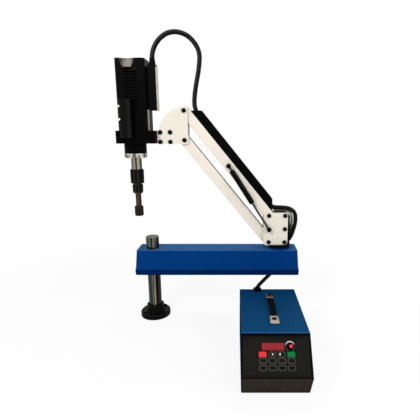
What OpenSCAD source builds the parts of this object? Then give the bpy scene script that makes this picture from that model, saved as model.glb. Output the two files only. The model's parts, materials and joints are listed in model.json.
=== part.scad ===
// Arm tapping machine: a parallelogram arm carries a motor head over the work. It swivels at the
// end of a cast beam that is held by a round column, and a separate box controls the motor.
// Frame: origin at the centre of the column flange's foot, +Z up, the beam runs along +X.

/* [Column] */
// Diameter of the ground post
post_d = 50; // [40:1:60]
// Height of the post's top above the bench
post_top = 327; // [310:1:420]
// Diameter of the bolted flange
flange_d = 116; // [100:1:160]
// Thickness of the flange
flange_t = 20; // [12:1:30]
// Diameter of the flange's hub
hub_d = 67; // [58:1:80]
// Height of the hub above the bench
hub_h = 48; // [40:1:80]
// Pitch circle of the flange's bolt holes
flange_pcd = 92; // [84:1:130]
// Diameter of the flange's bolt holes
flange_hole_d = 9; // [6:0.5:12]

/* [Beam] */
// Height of the beam's underside above the bench
beam_z = 187; // [170:1:230]
// Length of the beam at its foot
beam_l = 626; // [560:1:700]
// Overhang of the beam past the post's axis
beam_overhang = 60; // [52:1:80]
// Depth of the beam at its foot
beam_w = 110; // [104:1:140]
// Height of the beam
beam_h = 95; // [85:1:130]
// Height of the lip round the beam's foot
beam_lip = 22; // [10:1:40]
// How far the lip's sides slant in below
lip_slant = 4; // [2:0.5:5]
// How far the beam's ends lean in
beam_lean_x = 6.5; // [2:1:15]
// How far the beam's sides lean in
beam_lean_y = 11; // [2:1:14]
// Wall of the casting
beam_wall = 8; // [6:0.5:10]
// Thickness of the casting's top
beam_top_t = 10; // [7:0.5:12]
// Corner radius of the beam
beam_r = 8; // [8:1:20]
// Diameter of the casting's boss round the post
boss_d = 80; // [76:1:86]
// Height of the collar that carries the beam
collar_h = 28; // [20:1:34]
// Diameter of the height collar
collar_d = 82; // [74:1:86]

/* [Swivel] */
// Distance from the post's axis to the arm's swivel axis
swivel_x = 492; // [440:1:510]
// Diameter of the turntable
turn_d = 86; // [80:1:96]
// Thickness of the turntable
turn_t = 10.7; // [8:0.1:16]
// Height of the machined pad under the turntable
pad_h = 7; // [3:0.5:14]
// Diameter of the hollow pivot
pivot_d = 44; // [38:1:50]
// Bore of the hollow pivot
pivot_bore = 26; // [24:1:30]
// Wall of the bronze bush round the pivot
bush_t = 6; // [4:0.5:8]
// Length of the swivel base's block along the beam
block_l = 59; // [54:1:64]
// Height of the side plates
plate_h = 125; // [118:1:140]
// Width of the side plates
plate_w = 92; // [88:1:100]
// Thickness of the side plates
plate_t = 6; // [4:0.5:8]
// Corner radius of the side plates
plate_r = 10; // [4:1:14]

/* [Arm] */
// Distance between the pivots of a link
arm_l = 493; // [420:1:560]
// Angle of the links above the horizontal
arm_angle = 51; // [45:0.5:58]
// Height between the two pivots of a pair
link_gap = 103.5; // [100:0.5:110]
// Depth of a link
link_h = 36; // [30:1:38]
// Width of a link
link_w = 36; // [30:1:40]
// Chamfer along a link's edges
link_bevel = 2; // [0.5:0.5:4]
// Diameter of the pivot pins
pin_d = 12; // [10:1:14]
// Wall of the bushes in the links
link_bush_t = 3; // [2:0.5:4]
// Diameter of the button heads
head_d = 16; // [12:1:18]
// Height of the button heads
head_h = 5.5; // [3:0.5:8]
// Thickness of the cable cover, square to the link
cover_t = 30.5; // [26:0.5:36]
// Width of the cable cover
cover_w = 34; // [30:1:36]
// Wall of the cable cover
cover_wall = 2.5; // [2:0.5:3]

/* [Gas spring] */
// Distance from the base pivot to the gas spring's upper stud
gas_s = 241; // [220:1:260]
// Distance of the gas spring's plane in front of the arm's plane
gas_y = 33; // [33:0.5:38]
// Diameter of the cylinder
gas_d = 20; // [16:0.5:22]
// Length of the cylinder
gas_l = 142; // [120:1:150]
// Diameter of the rod
gas_rod_d = 8; // [6:0.5:10]
// Length of the rod from its eye
gas_rod_l = 222; // [200:1:226]
// Diameter of the two studs
stud_d = 8; // [6:0.5:10]

/* [Motor head] */
// Distance from the arm's end pivots to the spindle's axis
head_reach = 184.5; // [180:0.5:230]
// Depth of the clamp's foot below the upper end pivot
clamp_drop = 115; // [112:0.5:125]
// Height of the clamp block
clamp_h = 45; // [36:1:60]
// Depth of the clamp block, front to back
clamp_w = 104; // [98:1:130]
// Diameter of the gearbox neck
neck_d = 80; // [70:1:84]
// Drop of the gearbox neck below the clamp
neck_drop = 36; // [20:1:60]
// Height of the motor housing
housing_h = 241; // [220:1:280]
// Width of the motor housing
housing_w = 101.5; // [98:0.5:120]
// Depth of the motor housing, front to back
housing_d = 100; // [94:1:110]
// Wall of the motor housing
housing_wall = 3; // [2:0.5:5]
// Number of vent slots in a side
vent_n = 13; // [6:1:14]
// Height between two vent slots
vent_pitch = 10.3; // [8:0.1:12]
// Height of one vent slot
vent_h = 5.5; // [3:0.5:6]
// Length of one vent slot
vent_l = 44; // [24:1:46]
// Width of the grip
grip_w = 40; // [30:1:50]
// Depth of the grip
grip_d = 32; // [24:1:40]
// Height of the grip
grip_h = 130; // [110:1:150]
// Diameter of the grip's push buttons
button_d = 10; // [8:0.5:14]
// Travel of the grip's push buttons
button_travel = 2; // [1:0.5:3]

/* [Tool end] */
// Diameter of the spindle
spindle_d = 38; // [30:1:40]
// Diameter of the spindle's nose inside the chuck
nose_d = 28; // [20:1:30]
// Diameter of the quick-change chuck
chuck_d = 49.5; // [46:0.5:60]
// Height of the quick-change chuck
chuck_h = 53; // [45:1:60]
// Diameter of the sliding sleeve
sleeve_d = 39; // [34:0.5:44]
// Height of the sliding sleeve
sleeve_h = 29; // [20:1:34]
// Travel of the sliding sleeve
sleeve_travel = 3; // [1:0.5:3.5]
// Diameter of the tap holder's core
core_d = 26; // [24:0.5:28]
// Diameter of the tap holder's shank
shank_d = 21; // [16:0.5:23]
// Length of the shank that shows
shank_l = 48; // [30:1:70]
// Diameter of the tap socket
socket_d = 32.5; // [28:0.5:40]
// Length of the tap socket
socket_l = 38; // [30:1:50]
// Bore of the tap socket
tap_bore = 12; // [6:0.5:16]
// Depth of the tap socket's bore
tap_depth = 24; // [16:1:25]

/* [Control box] */
// Distance of the box's middle from the post's axis, along the beam
ctrl_x = 436.5; // [400:0.5:470]
// Distance of the box's back from the beam's middle
ctrl_back = 138; // [130:1:180]
// Width of the box
ctrl_w = 196; // [180:1:230]
// Height of the box
ctrl_h = 169; // [150:1:172]
// Length of the box's top, front to back
ctrl_l = 292; // [270:1:340]
// Drop of the sloping front
slope_drop = 94; // [80:1:110]
// Run of the sloping front
slope_run = 70; // [50:1:90]
// How far the lower front slants back
toe_run = 37; // [20:1:45]
// Thickness of the box's sheet metal
sheet_t = 2; // [1.5:0.5:3]
// Height of the box's rubber feet
foot_h = 2.5; // [2:0.5:10]
// Width of the key field
keys_w = 104; // [98:1:120]
// Diameter of the speed knob
knob_d = 18; // [12:1:20]
// Length of the strap handle
handle_l = 192; // [150:1:220]

/* [Clearances] */
// Radial clearance of shafts and pins that turn
run_gap = 0.05; // [0.02:0.01:0.1]
// Radial clearance of parts that are pressed or clamped together
seat_gap = 0.02; // [0.01:0.01:0.04]
// Gap between faces that slide past each other
face_gap = 0.3; // [0.2:0.05:0.5]
// Radial clearance of the gas rod, whose linkage is opened there
rod_gap = 2.6; // [2.4:0.1:3]

/* [Hidden] */
$fn = 64;
EPS = 0.01;

// Point and lean of the head's cable in the cover's upper end
loop_entry = [182, 0, 797.5];
loop_lean = 162;

// Heights, from the bench up
beam_top = beam_z + beam_h;
collar_z = beam_z + 5;
boss_z = collar_z + collar_h + face_gap;
turn_z = beam_top + pad_h + face_gap;
turn_top = turn_z + turn_t;
pivot_foot = beam_top - 56;

// Arm pivots at rest
plate_inner = link_w / 2 + 2;
plate_outer = plate_inner + plate_t;
pivot_x = swivel_x - 42;
base_z = turn_top + 114.5;
gas_foot_z = base_z - link_gap / 2;
head_x = pivot_x - arm_l * cos(arm_angle);
head_z = base_z + arm_l * sin(arm_angle);

// Motor head: the spindle's axis and the clamp's foot
axis_x = head_x - head_reach;
clamp_z = head_z - clamp_drop;
clamp_left = neck_d / 2 + 15.5;
plates_left = 86.5;
screw_step_x = 35.5;
screw_step_z = 34.3;
housing_left = 43.5;
housing_right = housing_w - housing_left;
// From the motor's axis to the nearest wall inside the housing
housing_inside = min(housing_left, housing_right, housing_d / 2) - housing_wall;
neck_in_d = min(neck_d, 2 * (housing_inside - 0.5));
housing_chamfer = 5;
scoop_r = 50;
scoop_deep = 8.4;
vent_x = 8.8;
ring_h = 17;
spindle_drop = 42;
chuck_top = -neck_drop - ring_h - spindle_drop;
chuck_foot = chuck_top - chuck_h;
sleeve_top = chuck_foot - sleeve_travel - 1;
sleeve_foot = sleeve_top - sleeve_h;
shank_top = sleeve_foot - 5.3;
socket_top = shank_top - shank_l;
socket_foot = socket_top - socket_l;
tbox_w = 38;
tbox_y = -17;
tbox_l = 28;
gland_in = tbox_l / 2 + 0.655;
tbox_h = 153;
tbox_z = clamp_h + 70;
lid_t = 1.5;
bar_t = 6.5;
back_t = 3;
grip_x = -12;
grip_y = -housing_d / 2 - 3;
grip_z = clamp_h - 25;
grip_foot = 25;
grip_foot_inset = 1.2;
grip_chamfer = 9;
button_drops = [24, 68];

// Gas spring: the angle and length of its line at rest
stud_x = pivot_x - gas_s * cos(arm_angle);
stud_z = base_z + gas_s * sin(arm_angle);
gas_span = norm([stud_x - pivot_x, stud_z - gas_foot_z]);
gas_angle = atan2(stud_z - gas_foot_z, pivot_x - stud_x);
eye_w = 10;
eye_d = 18;

// Control box: its side view as [y, z]
ctrl_rear = -ctrl_back;
ctrl_brow = ctrl_rear - ctrl_l;
ctrl_fold = ctrl_brow - slope_run;
fold_z = ctrl_h - slope_drop;
ctrl_toe = ctrl_fold + toe_run;
slope_l = norm([slope_run, slope_drop]);
slope_angle = atan2(slope_drop, slope_run);
inner_w = ctrl_w - 2 * sheet_t - 2 * face_gap;
panel_t = 3;
switch_x = ctrl_x + 62;
switch_z = 60;
inlet_x = ctrl_x + 20;
gland_x = 402;
gland_z = ctrl_h - 9;
gland_d = 32;
hood_l = 22;
knob_x = 39;
knob_s = 81.5;

// Diameters of the cords
loop_cord_d = 17;
outer_cord_d = 16;
inner_cord_d = 10;
control_cord_d = 14;

// Routes of the cords, chosen by hand, in millimetres
head_loop_path = [[34.4, -17, 956], [34.4, -17, 974], [37.7, -16.4, 995], [47.2, -15, 1017],
    [63.6, -12.6, 1038], [87.8, -9.6, 1054.5], [117, -6.6, 1060], [145.6, -4, 1053.6], [167.3, -1.8, 1040],
    [185.1, -0.5, 1019], [195, 0, 997], [197, 0, 972],
    [192, 0, 931], [185, 0, 897], [179, 0, 863], [176, 0, 835], [177, 0, 812], [184, 0, 792],
    [200, 0, 769], [225, 0, 738], [256, 0, 700], [288, 0, 661], [320, 0, 621], [352, 0, 582],
    [384, 0, 542], [412, -0.5, 508], [424, -1, 492.7], [437.9, -3, 472.2], [444.5, -4, 463.8],
    [450.5, -4.9, 456.3], [453.7, -5.2, 452.7], [457.6, -5.4, 449.3], [461, -5.4, 447.9]];
outer_cord_path = [[461.7, -5.4, 447.4], [466.4, -5.5, 445.3], [471.6, -5.7, 444], [477, -5.9, 443.4],
    [490, -6.2, 443], [503, -6.5, 442.4], [519.8, -6.9, 440.6], [531.5, -7.1, 436.6], [541.5, -7.2, 430],
    [547.5, -7.2, 422.5], [551, -7.2, 413.5], [552.3, -7.3, 402], [552, -7.4, 386], [549.6, -7.5, 371],
    [545.6, -7.5, 356], [541.1, -7.5, 340.7], [535, -7.5, 327], [528.5, -7.5, 317], [521, -7.5, 309.6],
    [513, -7.5, 302.5], [508, -7.5, 298]];
inner_cord_path = [[461.3, 8.3, 440.3], [466, 8.3, 437.4], [471.5, 8.3, 434.5], [478, 8.3, 432],
    [486, 8.3, 430.7], [496, 8.3, 430.2], [507, 8.3, 430], [518, 8.3, 428.6], [527.5, 8.3, 424.8],
    [534.3, 8.4, 418.3], [538.7, 8.4, 409.5], [540.6, 8.5, 399], [540.6, 8.5, 386], [539.4, 8.5, 370],
    [538.2, 8.5, 354], [537.9, 8.4, 340], [536.8, 8.3, 329], [533, 8.1, 321], [527.3, 8, 314.8],
    [520.5, 7.8, 309], [509, 7.8, 299]];
control_lower_path = [[402, -121, 160], [402, -114, 160.5], [405, -105, 163], [411, -95, 166],
    [418, -84, 168.5], [425, -73, 170.5], [433, -60, 172.5], [441, -48, 174.5]];
control_upper_path = [[441.6, -47.2, 174.8], [450, -36, 178], [460, -25, 183], [471, -15, 189],
    [482, -7, 197], [489, -2, 206], [492, 0, 217], [492, 0, 236]];

// ---- Shared shapes ----

// Flat rectangle from corner a to corner b with cut corners
module chamfer_rect(a, b, c) {
    polygon([[a[0] + c, a[1]], [b[0] - c, a[1]], [b[0], a[1] + c], [b[0], b[1] - c],
        [b[0] - c, b[1]], [a[0] + c, b[1]], [a[0], b[1] - c], [a[0], a[1] + c]]);
}

// Flat rectangle from corner a to corner b with round corners
module round_rect(a, b, r) {
    translate([a[0] + r, a[1]]) square([b[0] - a[0] - 2 * r, b[1] - a[1]]);
    translate([a[0], a[1] + r]) square([b[0] - a[0], b[1] - a[1] - 2 * r]);
    for (x = [a[0] + r, b[0] - r], y = [a[1] + r, b[1] - r]) translate([x, y]) circle(r = r);
}

// Solid box from corner a to corner b
module box(a, b) {
    translate(a) cube(b - a);
}

// Cylinder along Z from z0 to z1
module rod(d, z0, z1) {
    translate([0, 0, z0]) cylinder(d = d, h = z1 - z0);
}

// Cylinder along Y from y0 to y1
module rod_y(d, y0, y1) {
    translate([0, y1, 0]) rotate([90, 0, 0]) cylinder(d = d, h = y1 - y0);
}

// Outline in X and Z, pushed along Y from y0 to y1
module slab_y(y0, y1) {
    translate([0, y1, 0]) rotate([90, 0, 0]) linear_extrude(y1 - y0) children();
}

// Outline in Y and Z, pushed along X from x0 to x1
module slab_x(x0, x1) {
    translate([x0, 0, 0]) rotate([90, 0, 90]) linear_extrude(x1 - x0) children();
}

// Button-head screw along Y: its head stands out from y towards the given side
module button_screw(y, side, shank_d, shank_l) {
    dome = head_h * 0.45;
    scale_y = side < 0 ? 0 : 180;
    translate([0, y, 0]) rotate([90, 0, scale_y]) {
        rotate_extrude() polygon([[0, 0], [head_d / 2, 0], [head_d / 2, head_h - dome],
            [head_d / 2 - dome, head_h], [2.5, head_h], [2.5, head_h - 2.5], [0, head_h - 2.5]]);
        translate([0, 0, -shank_l]) cylinder(d = shank_d, h = shank_l);
    }
}

// Places children at a pivot with +X along the arm and +Z square to it, away from the lower link
module on_link(x, z) {
    translate([x, 0, z]) rotate([0, arm_angle, 0]) rotate([0, 0, 180]) children();
}

// Places children at the spindle's axis, at the height of the clamp's foot
module at_head() {
    translate([axis_x, 0, clamp_z]) children();
}

// Places children on the sloping front: +X right, +Y up the slope, +Z out of it
module on_slope() {
    translate([ctrl_x, ctrl_fold, fold_z]) rotate([slope_angle, 0, 0]) children();
}

// ---- Cords ----

function unit(v) = v / norm(v);
function run_at(path, i) = unit(path[min(i + 1, len(path) - 1)] - path[max(i - 1, 0)]);
function side_at(path, i, across) = unit(cross(across, run_at(path, i)));
function ring_at(path, i, r, sides, across) = [for (k = [0 : sides - 1])
    path[i] + r * cos(360 * k / sides) * side_at(path, i, across)
        + r * sin(360 * k / sides) * cross(run_at(path, i), side_at(path, i, across))];

// Round tube along a path, whose runs never point along the direction "across"
module cord_tube(path, d, across = [0, 1, 0], sides = 10) {
    n = len(path);
    points = [for (i = [0 : n - 1]) each ring_at(path, i, d / 2, sides, across)];
    walls = [for (i = [0 : n - 2], k = [0 : sides - 1])
        [i * sides + k, (i + 1) * sides + k, (i + 1) * sides + (k + 1) % sides, i * sides + (k + 1) % sides]];
    foot = [for (k = [0 : sides - 1]) k];
    head = [for (k = [sides - 1 : -1 : 0]) (n - 1) * sides + k];
    polyhedron(points, concat(walls, [foot, head]));
}

// ---- Column ----

module column_flange() color([0.07, 0.07, 0.07]) {
    difference() {
        rotate_extrude() polygon([[0, 0], [flange_d / 2 - 1, 0], [flange_d / 2, 1],
            [flange_d / 2, flange_t - 4], [flange_d / 2 - 4, flange_t], [hub_d / 2 + 4, flange_t],
            [hub_d / 2, flange_t + 4], [hub_d / 2, hub_h - 3], [hub_d / 2 - 3, hub_h], [0, hub_h]]);
        rod(post_d + 2 * seat_gap, 4, hub_h + 1);
        for (a = [45 : 90 : 315]) rotate(a) translate([flange_pcd / 2, 0, 0]) {
            rod(flange_hole_d, -1, flange_t + 1);
            rod(flange_hole_d + 6, flange_t - 6, flange_t + 5);
        }
    }
}

module column_post() color([0.62, 0.64, 0.62]) {
    difference() {
        rotate_extrude() polygon([[0, 4], [post_d / 2 - 1.5, 4], [post_d / 2, 5.5],
            [post_d / 2, post_top - 1.5], [post_d / 2 - 1.5, post_top], [0, post_top]]);
        translate([0, 0, post_top - 5]) cylinder(d1 = 3, d2 = 8, h = 5 + EPS);
    }
}

// ---- Beam ----

module beam_prism(inset, z0, z1) {
    lean0 = (z0 - beam_z) / beam_h;
    lean1 = (z1 - beam_z) / beam_h;
    hull() for (s = [[z0, lean0], [z1 - EPS, lean1]])
        translate([0, 0, s[0]]) linear_extrude(EPS)
            beam_outline(inset + s[1] * beam_lean_x, inset + s[1] * beam_lean_y, beam_r - min(inset, 6));
}

module beam_outline(inset_x, inset_y, r) {
    $fn = 32;
    round_rect([-beam_overhang + inset_x, -beam_w / 2 + inset_y],
        [beam_l - beam_overhang - inset_x, beam_w / 2 - inset_y], r);
}

module beam_casting() color([0.02, 0.22, 0.48]) {
    rib_x = swivel_x / 2;
    difference() {
        union() {
            difference() {
                union() {
                    hull() for (s = [[beam_z, lip_slant], [beam_z + beam_lip - EPS, 0]])
                        translate([0, 0, s[0]]) linear_extrude(EPS) beam_outline(0, s[1], beam_r);
                    beam_prism(0, beam_z + beam_lip, beam_top);
                }
                beam_prism(beam_wall, beam_z - 1, beam_top - beam_top_t);
            }
            rod(boss_d, boss_z, beam_top - 2);
            translate([swivel_x, 0, 0]) {
                rod(pivot_d + 2 * bush_t + 20, pivot_foot + 14, beam_top - 2);
                rod(turn_d - 2, beam_top - 2, beam_top + pad_h);
            }
            box([rib_x - 4, -beam_w / 2 + beam_wall + 3, beam_z + 30],
                [rib_x + 4, beam_w / 2 - beam_wall - 3, beam_top - 2]);
        }
        rod(post_d + 6, boss_z - 1, beam_top + 1);
        rod(post_d + 10 + 2 * seat_gap, boss_z - 1, boss_z + 20);
        rod(post_d + 10 + 2 * seat_gap, beam_top - 20, beam_top + 1);
        translate([swivel_x, 0, 0]) rod(pivot_d + 2 * bush_t + 2 * seat_gap, pivot_foot, beam_top + pad_h + 1);
    }
}

module column_bushes() color([0.72, 0.5, 0.22]) {
    for (z = [boss_z, beam_top - 20]) difference() {
        rod(post_d + 10, z, z + 20);
        rod(post_d + 2 * run_gap, z - 1, z + 21);
    }
}

module swivel_bearing() color([0.72, 0.5, 0.22]) {
    translate([swivel_x, 0, 0]) difference() {
        rod(pivot_d + 2 * bush_t, pivot_foot + 14, beam_top + pad_h);
        rod(pivot_d + 2 * run_gap, pivot_foot, beam_top + pad_h + 1);
    }
}

// Rubber bush in the foot of the hollow pivot, where the control cable goes up
module pivot_grommet() color([0.05, 0.05, 0.05]) {
    outer = pivot_bore / 2 - seat_gap;
    inner = control_cord_d / 2 + 0.5;
    translate([swivel_x, 0, pivot_foot]) rotate_extrude() polygon([[inner, -3], [outer + 4, -3],
        [outer + 5, -1.5], [outer + 4, 0], [outer, 0], [outer, 10], [inner, 10]]);
}

module height_collar() color([0.3, 0.3, 0.31]) {
    difference() {
        rotate_extrude() polygon([[post_d / 2 + run_gap, collar_z], [collar_d / 2 - 1, collar_z],
            [collar_d / 2, collar_z + 1], [collar_d / 2, collar_z + collar_h - 1],
            [collar_d / 2 - 1, collar_z + collar_h], [post_d / 2 + run_gap, collar_z + collar_h]]);
        box([post_d / 2 - 2, -2, collar_z - 1], [collar_d, 2, collar_z + collar_h + 1]);
        translate([post_d / 2 + 8, 0, collar_z + collar_h / 2]) {
            rod_y(6 + 2 * seat_gap, -19, 30);
            rod_y(11, 14, 40);
        }
    }
}

module collar_screw() color([0.15, 0.15, 0.15]) {
    translate([post_d / 2 + 8, 0, collar_z + collar_h / 2]) {
        rod_y(6, -18, 14);
        rod_y(10, 14, 20);
    }
}

// ---- Swivel base ----

module swivel_base() color([0.06, 0.06, 0.06]) {
    block_x = swivel_x + 38 - block_l;
    notch_r = link_h / 2 + 3;
    difference() {
        union() {
            translate([swivel_x, 0, 0]) {
                rod(turn_d, turn_z, turn_top);
                rod(pivot_d, pivot_foot, turn_z + 1);
            }
            slab_y(-plate_inner, plate_inner) polygon([[block_x, turn_top - 1], [block_x + block_l, turn_top - 1],
                [block_x + block_l, turn_top + plate_h - 13], [block_x + block_l - 12, turn_top + plate_h - 3],
                [block_x + 3, turn_top + plate_h - 3], [block_x, turn_top + plate_h - 6]]);
        }
        translate([pivot_x, 0, base_z - link_gap]) rod_y(2 * notch_r, -plate_inner + 0.5, plate_inner - 0.5);
        box([pivot_x - notch_r - 10, -plate_inner + 0.5, turn_z - 1],
            [pivot_x + notch_r - 3, plate_inner - 0.5, turn_top + 1]);
        translate([swivel_x, 0, 0]) rod(pivot_bore, pivot_foot - 1, turn_top + 18);
        for (p = [[-7.5, outer_cord_d], [7.8, inner_cord_d]])
            translate([swivel_x + 29, p[0], turn_top + 9.5]) {
                rotate([0, 49, 0]) rod(p[1] + 2, -32, 12);
                translate([8, 0, 8]) rotate([0, 27, 0]) rod(p[1] + 2, -4, 40);
            }
    }
}

module pivot_nut() color([0.55, 0.55, 0.55]) {
    translate([swivel_x, 0, 0]) difference() {
        translate([0, 0, pivot_foot + 2]) cylinder(d = 66, h = 12 - face_gap, $fn = 6);
        rod(pivot_d + 2 * seat_gap, pivot_foot, pivot_foot + 20);
    }
}

module base_plate() {
    left = swivel_x + 29.3 - plate_w;
    difference() {
        linear_extrude(plate_t) round_rect([left, turn_top], [left + plate_w, turn_top + plate_h], plate_r);
        for (z = [base_z, base_z - link_gap]) translate([pivot_x, z, -1]) cylinder(d = pin_d + 2 * seat_gap, h = 10);
        translate([pivot_x, gas_foot_z, -1]) cylinder(d = stud_d + 2 * seat_gap, h = 10);
        for (z = base_screw_zs) translate([swivel_x + 18.5, z, -1]) cylinder(d = 8 + 2 * seat_gap, h = 10);
    }
}

base_screw_zs = [base_z, gas_foot_z, base_z - link_gap];

module base_plates() color([0.93, 0.9, 0.82]) {
    for (y = [-plate_inner, plate_outer]) translate([0, y, 0]) rotate([90, 0, 0]) base_plate();
}

module base_screws() color([0.03, 0.03, 0.03]) {
    for (z = base_screw_zs, side = [-1, 1])
        translate([swivel_x + 18.5, 0, z]) button_screw(side * plate_outer, side, 8, plate_t);
}

module base_pins() color([0.03, 0.03, 0.03]) {
    for (z = [base_z, base_z - link_gap], side = [-1, 1])
        translate([pivot_x, 0, z]) button_screw(side * plate_outer, side, pin_d, plate_outer);
    translate([pivot_x, 0, gas_foot_z]) {
        rod_y(stud_d, -gas_y - eye_w / 2 - face_gap, -plate_inner);
        rod_y(eye_d - 3, -gas_y + eye_w / 2 + face_gap, -plate_outer);
        button_screw(-gas_y - eye_w / 2 - face_gap, -1, stud_d, 1);
    }
}

// ---- Arm ----

// Bar of a link with round ends, chamfered edges and a bore at each pivot
module link_bar() {
    half = link_w / 2;
    flat = half - link_bevel;
    bore_d = pin_d + 2 * link_bush_t + 2 * seat_gap;
    difference() {
        union() {
            slab_x(0, arm_l) polygon([[-half, -link_h / 2 + link_bevel], [-flat, -link_h / 2],
                [flat, -link_h / 2], [half, -link_h / 2 + link_bevel], [half, link_h / 2 - link_bevel],
                [flat, link_h / 2], [-flat, link_h / 2], [-half, link_h / 2 - link_bevel]]);
            for (x = [0, arm_l]) translate([x, half, 0]) rotate([90, 0, 0]) rotate_extrude()
                polygon([[0, 0], [link_h / 2 - link_bevel, 0], [link_h / 2, link_bevel],
                    [link_h / 2, link_w - link_bevel], [link_h / 2 - link_bevel, link_w], [0, link_w]]);
        }
        for (x = [0, arm_l]) translate([x, 0, 0]) rod_y(bore_d, -half - 1, half + 1);
    }
}

module link_bushes() {
    for (x = [0, arm_l]) translate([x, 0, 0]) difference() {
        rod_y(pin_d + 2 * link_bush_t, -plate_inner + face_gap, plate_inner - face_gap);
        rod_y(pin_d + 2 * run_gap, -plate_inner, plate_inner);
    }
}

module upper_link() color([0.93, 0.9, 0.82]) {
    on_link(pivot_x, base_z) difference() {
        link_bar();
        translate([gas_s, 0, 0]) rod_y(stud_d + 2 * seat_gap, 0, link_w);
    }
}

module lower_link() color([0.93, 0.9, 0.82]) {
    on_link(pivot_x, base_z - link_gap) link_bar();
}

module upper_bushes() color([0.72, 0.5, 0.22]) {
    on_link(pivot_x, base_z) link_bushes();
}

module lower_bushes() color([0.72, 0.5, 0.22]) {
    on_link(pivot_x, base_z - link_gap) link_bushes();
}

// Side view of the cable cover: its ends are level and upright while the arm is at rest
function cover_outline(grow) = let(foot = link_h / 2 + face_gap / 3, top = foot + cover_t + grow,
        lean_low = tan(90 - arm_angle), lean_high = tan(arm_angle))
    [[3 - grow, foot - (grow < 0 ? 1 : 0)], [3 - grow + cover_t * lean_high, top],
        [arm_l - 39 + grow, top], [arm_l - 39 + grow + (top - foot) * lean_low, foot - (grow < 0 ? 1 : 0)]];

module cable_cover() color([0.04, 0.04, 0.04]) {
    on_link(pivot_x, base_z) difference() {
        slab_y(-cover_w / 2, cover_w / 2) polygon(cover_outline(0));
        slab_y(-cover_w / 2 + cover_wall, cover_w / 2 - cover_wall) polygon(cover_outline(-cover_wall));
        on_cover_end() {
            for (up = [0.5, 3]) translate([-20, outer_cord_path[0][1], outer_cord_path[0][2] + up])
                rotate([0, 90, 0]) rod(outer_cord_d + 3.6, 0, 40);
            translate([-20, inner_cord_path[0][1], inner_cord_path[0][2] - 0.8]) rotate([0, 90, 0])
                rod(inner_cord_d + 2.4, 0, 40);
        }
        at_cover_top() rod(loop_cord_d + 3.5, -14, 14);
    }
}

// Places children where the head's cable goes down into the cover, level as the arm is at rest
module at_cover_top() {
    rotate([0, 0, 180]) rotate([0, -arm_angle, 0]) translate([-pivot_x, 0, -base_z])
        translate([loop_entry[0], 0, loop_entry[2]]) rotate([0, loop_lean, 0]) children();
}

// Places children at the cover's lower end, in the frame at rest: +X out of the upright end wall
module on_cover_end() {
    rotate([0, 0, 180]) rotate([0, -arm_angle, 0]) translate([-pivot_x, 0, -base_z])
        translate([outer_cord_path[0][0], 0, 0]) children();
}

module gas_stud() color([0.5, 0.5, 0.5]) {
    translate([stud_x, 0, stud_z]) {
        rod_y(stud_d, -gas_y - eye_w / 2 - face_gap, -8);
        rod_y(eye_d - 3, -gas_y + eye_w / 2 + face_gap, -link_w / 2);
        rod_y(eye_d - 4, -gas_y - eye_w / 2 - face_gap - 3, -gas_y - eye_w / 2 - face_gap);
    }
}

// Places children at a gas spring pivot with +X along its line, up towards the upper stud
module on_gas(x, z) {
    translate([x, -gas_y, z]) rotate([0, gas_angle, 0]) rotate([0, 0, 180]) children();
}

module gas_eye() {
    difference() {
        union() {
            rod_y(eye_d, -eye_w / 2, eye_w / 2);
            rotate([0, 90, 0]) rod(eye_w - 1, 0, 14);
        }
        rod_y(stud_d + 2 * run_gap, -eye_w, eye_w);
    }
}

module gas_cylinder() color([0.05, 0.05, 0.05]) {
    on_gas(stud_x, stud_z) mirror([1, 0, 0]) {
        gas_eye();
        rotate([0, 90, 0]) rotate_extrude() polygon([[0, 13], [5, 13], [gas_d / 2 - 2, 18], [gas_d / 2, 21],
            [gas_d / 2, 21 + gas_l - 2], [gas_d / 2 - 2, 21 + gas_l], [gas_rod_d / 2 + rod_gap, 21 + gas_l],
            [gas_rod_d / 2 + rod_gap, 30], [0, 30]]);
    }
}

module gas_rod() color([0.75, 0.76, 0.77]) {
    on_gas(pivot_x, gas_foot_z) {
        gas_eye();
        rotate([0, 90, 0]) rod(gas_rod_d, 12, gas_rod_l);
    }
}

// ---- Motor head ----

module head_plate() {
    corner = [head_reach + 2, clamp_drop - 82.5];
    fan_r = 94.5;
    right = head_reach + 13;
    difference() {
        union() {
            intersection() {
                translate(corner) circle(r = fan_r, $fn = 128);
                translate([plates_left, corner[1]]) square([right - plates_left, fan_r]);
            }
            round_rect([plates_left, -2.5], [right, corner[1] + 12], 3);
        }
        for (z = [clamp_drop, clamp_drop - link_gap]) translate([head_reach, z]) circle(d = pin_d + 2 * seat_gap);
        for (i = [0, 1], j = [0, 1]) translate(head_screw_at(i, j)) circle(d = 8 + 2 * seat_gap);
    }
}

function head_screw_at(i, j) = [plates_left + 11.5 + i * screw_step_x, 5 + j * screw_step_z];

module head_plates() color([0.93, 0.9, 0.82]) {
    at_head() for (y = [-plate_outer, plate_inner]) slab_y(y, y + plate_t) head_plate();
}

module head_screws() color([0.03, 0.03, 0.03]) {
    at_head() for (i = [0, 1], j = [0, 1], side = [-1, 1])
        translate([head_screw_at(i, j)[0], 0, head_screw_at(i, j)[1]])
            button_screw(side * plate_outer, side, 8, plate_t);
}

module head_pins() color([0.03, 0.03, 0.03]) {
    at_head() for (z = [clamp_drop, clamp_drop - link_gap], side = [-1, 1])
        translate([head_reach, 0, z]) button_screw(side * plate_outer, side, pin_d, plate_outer);
}

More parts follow.
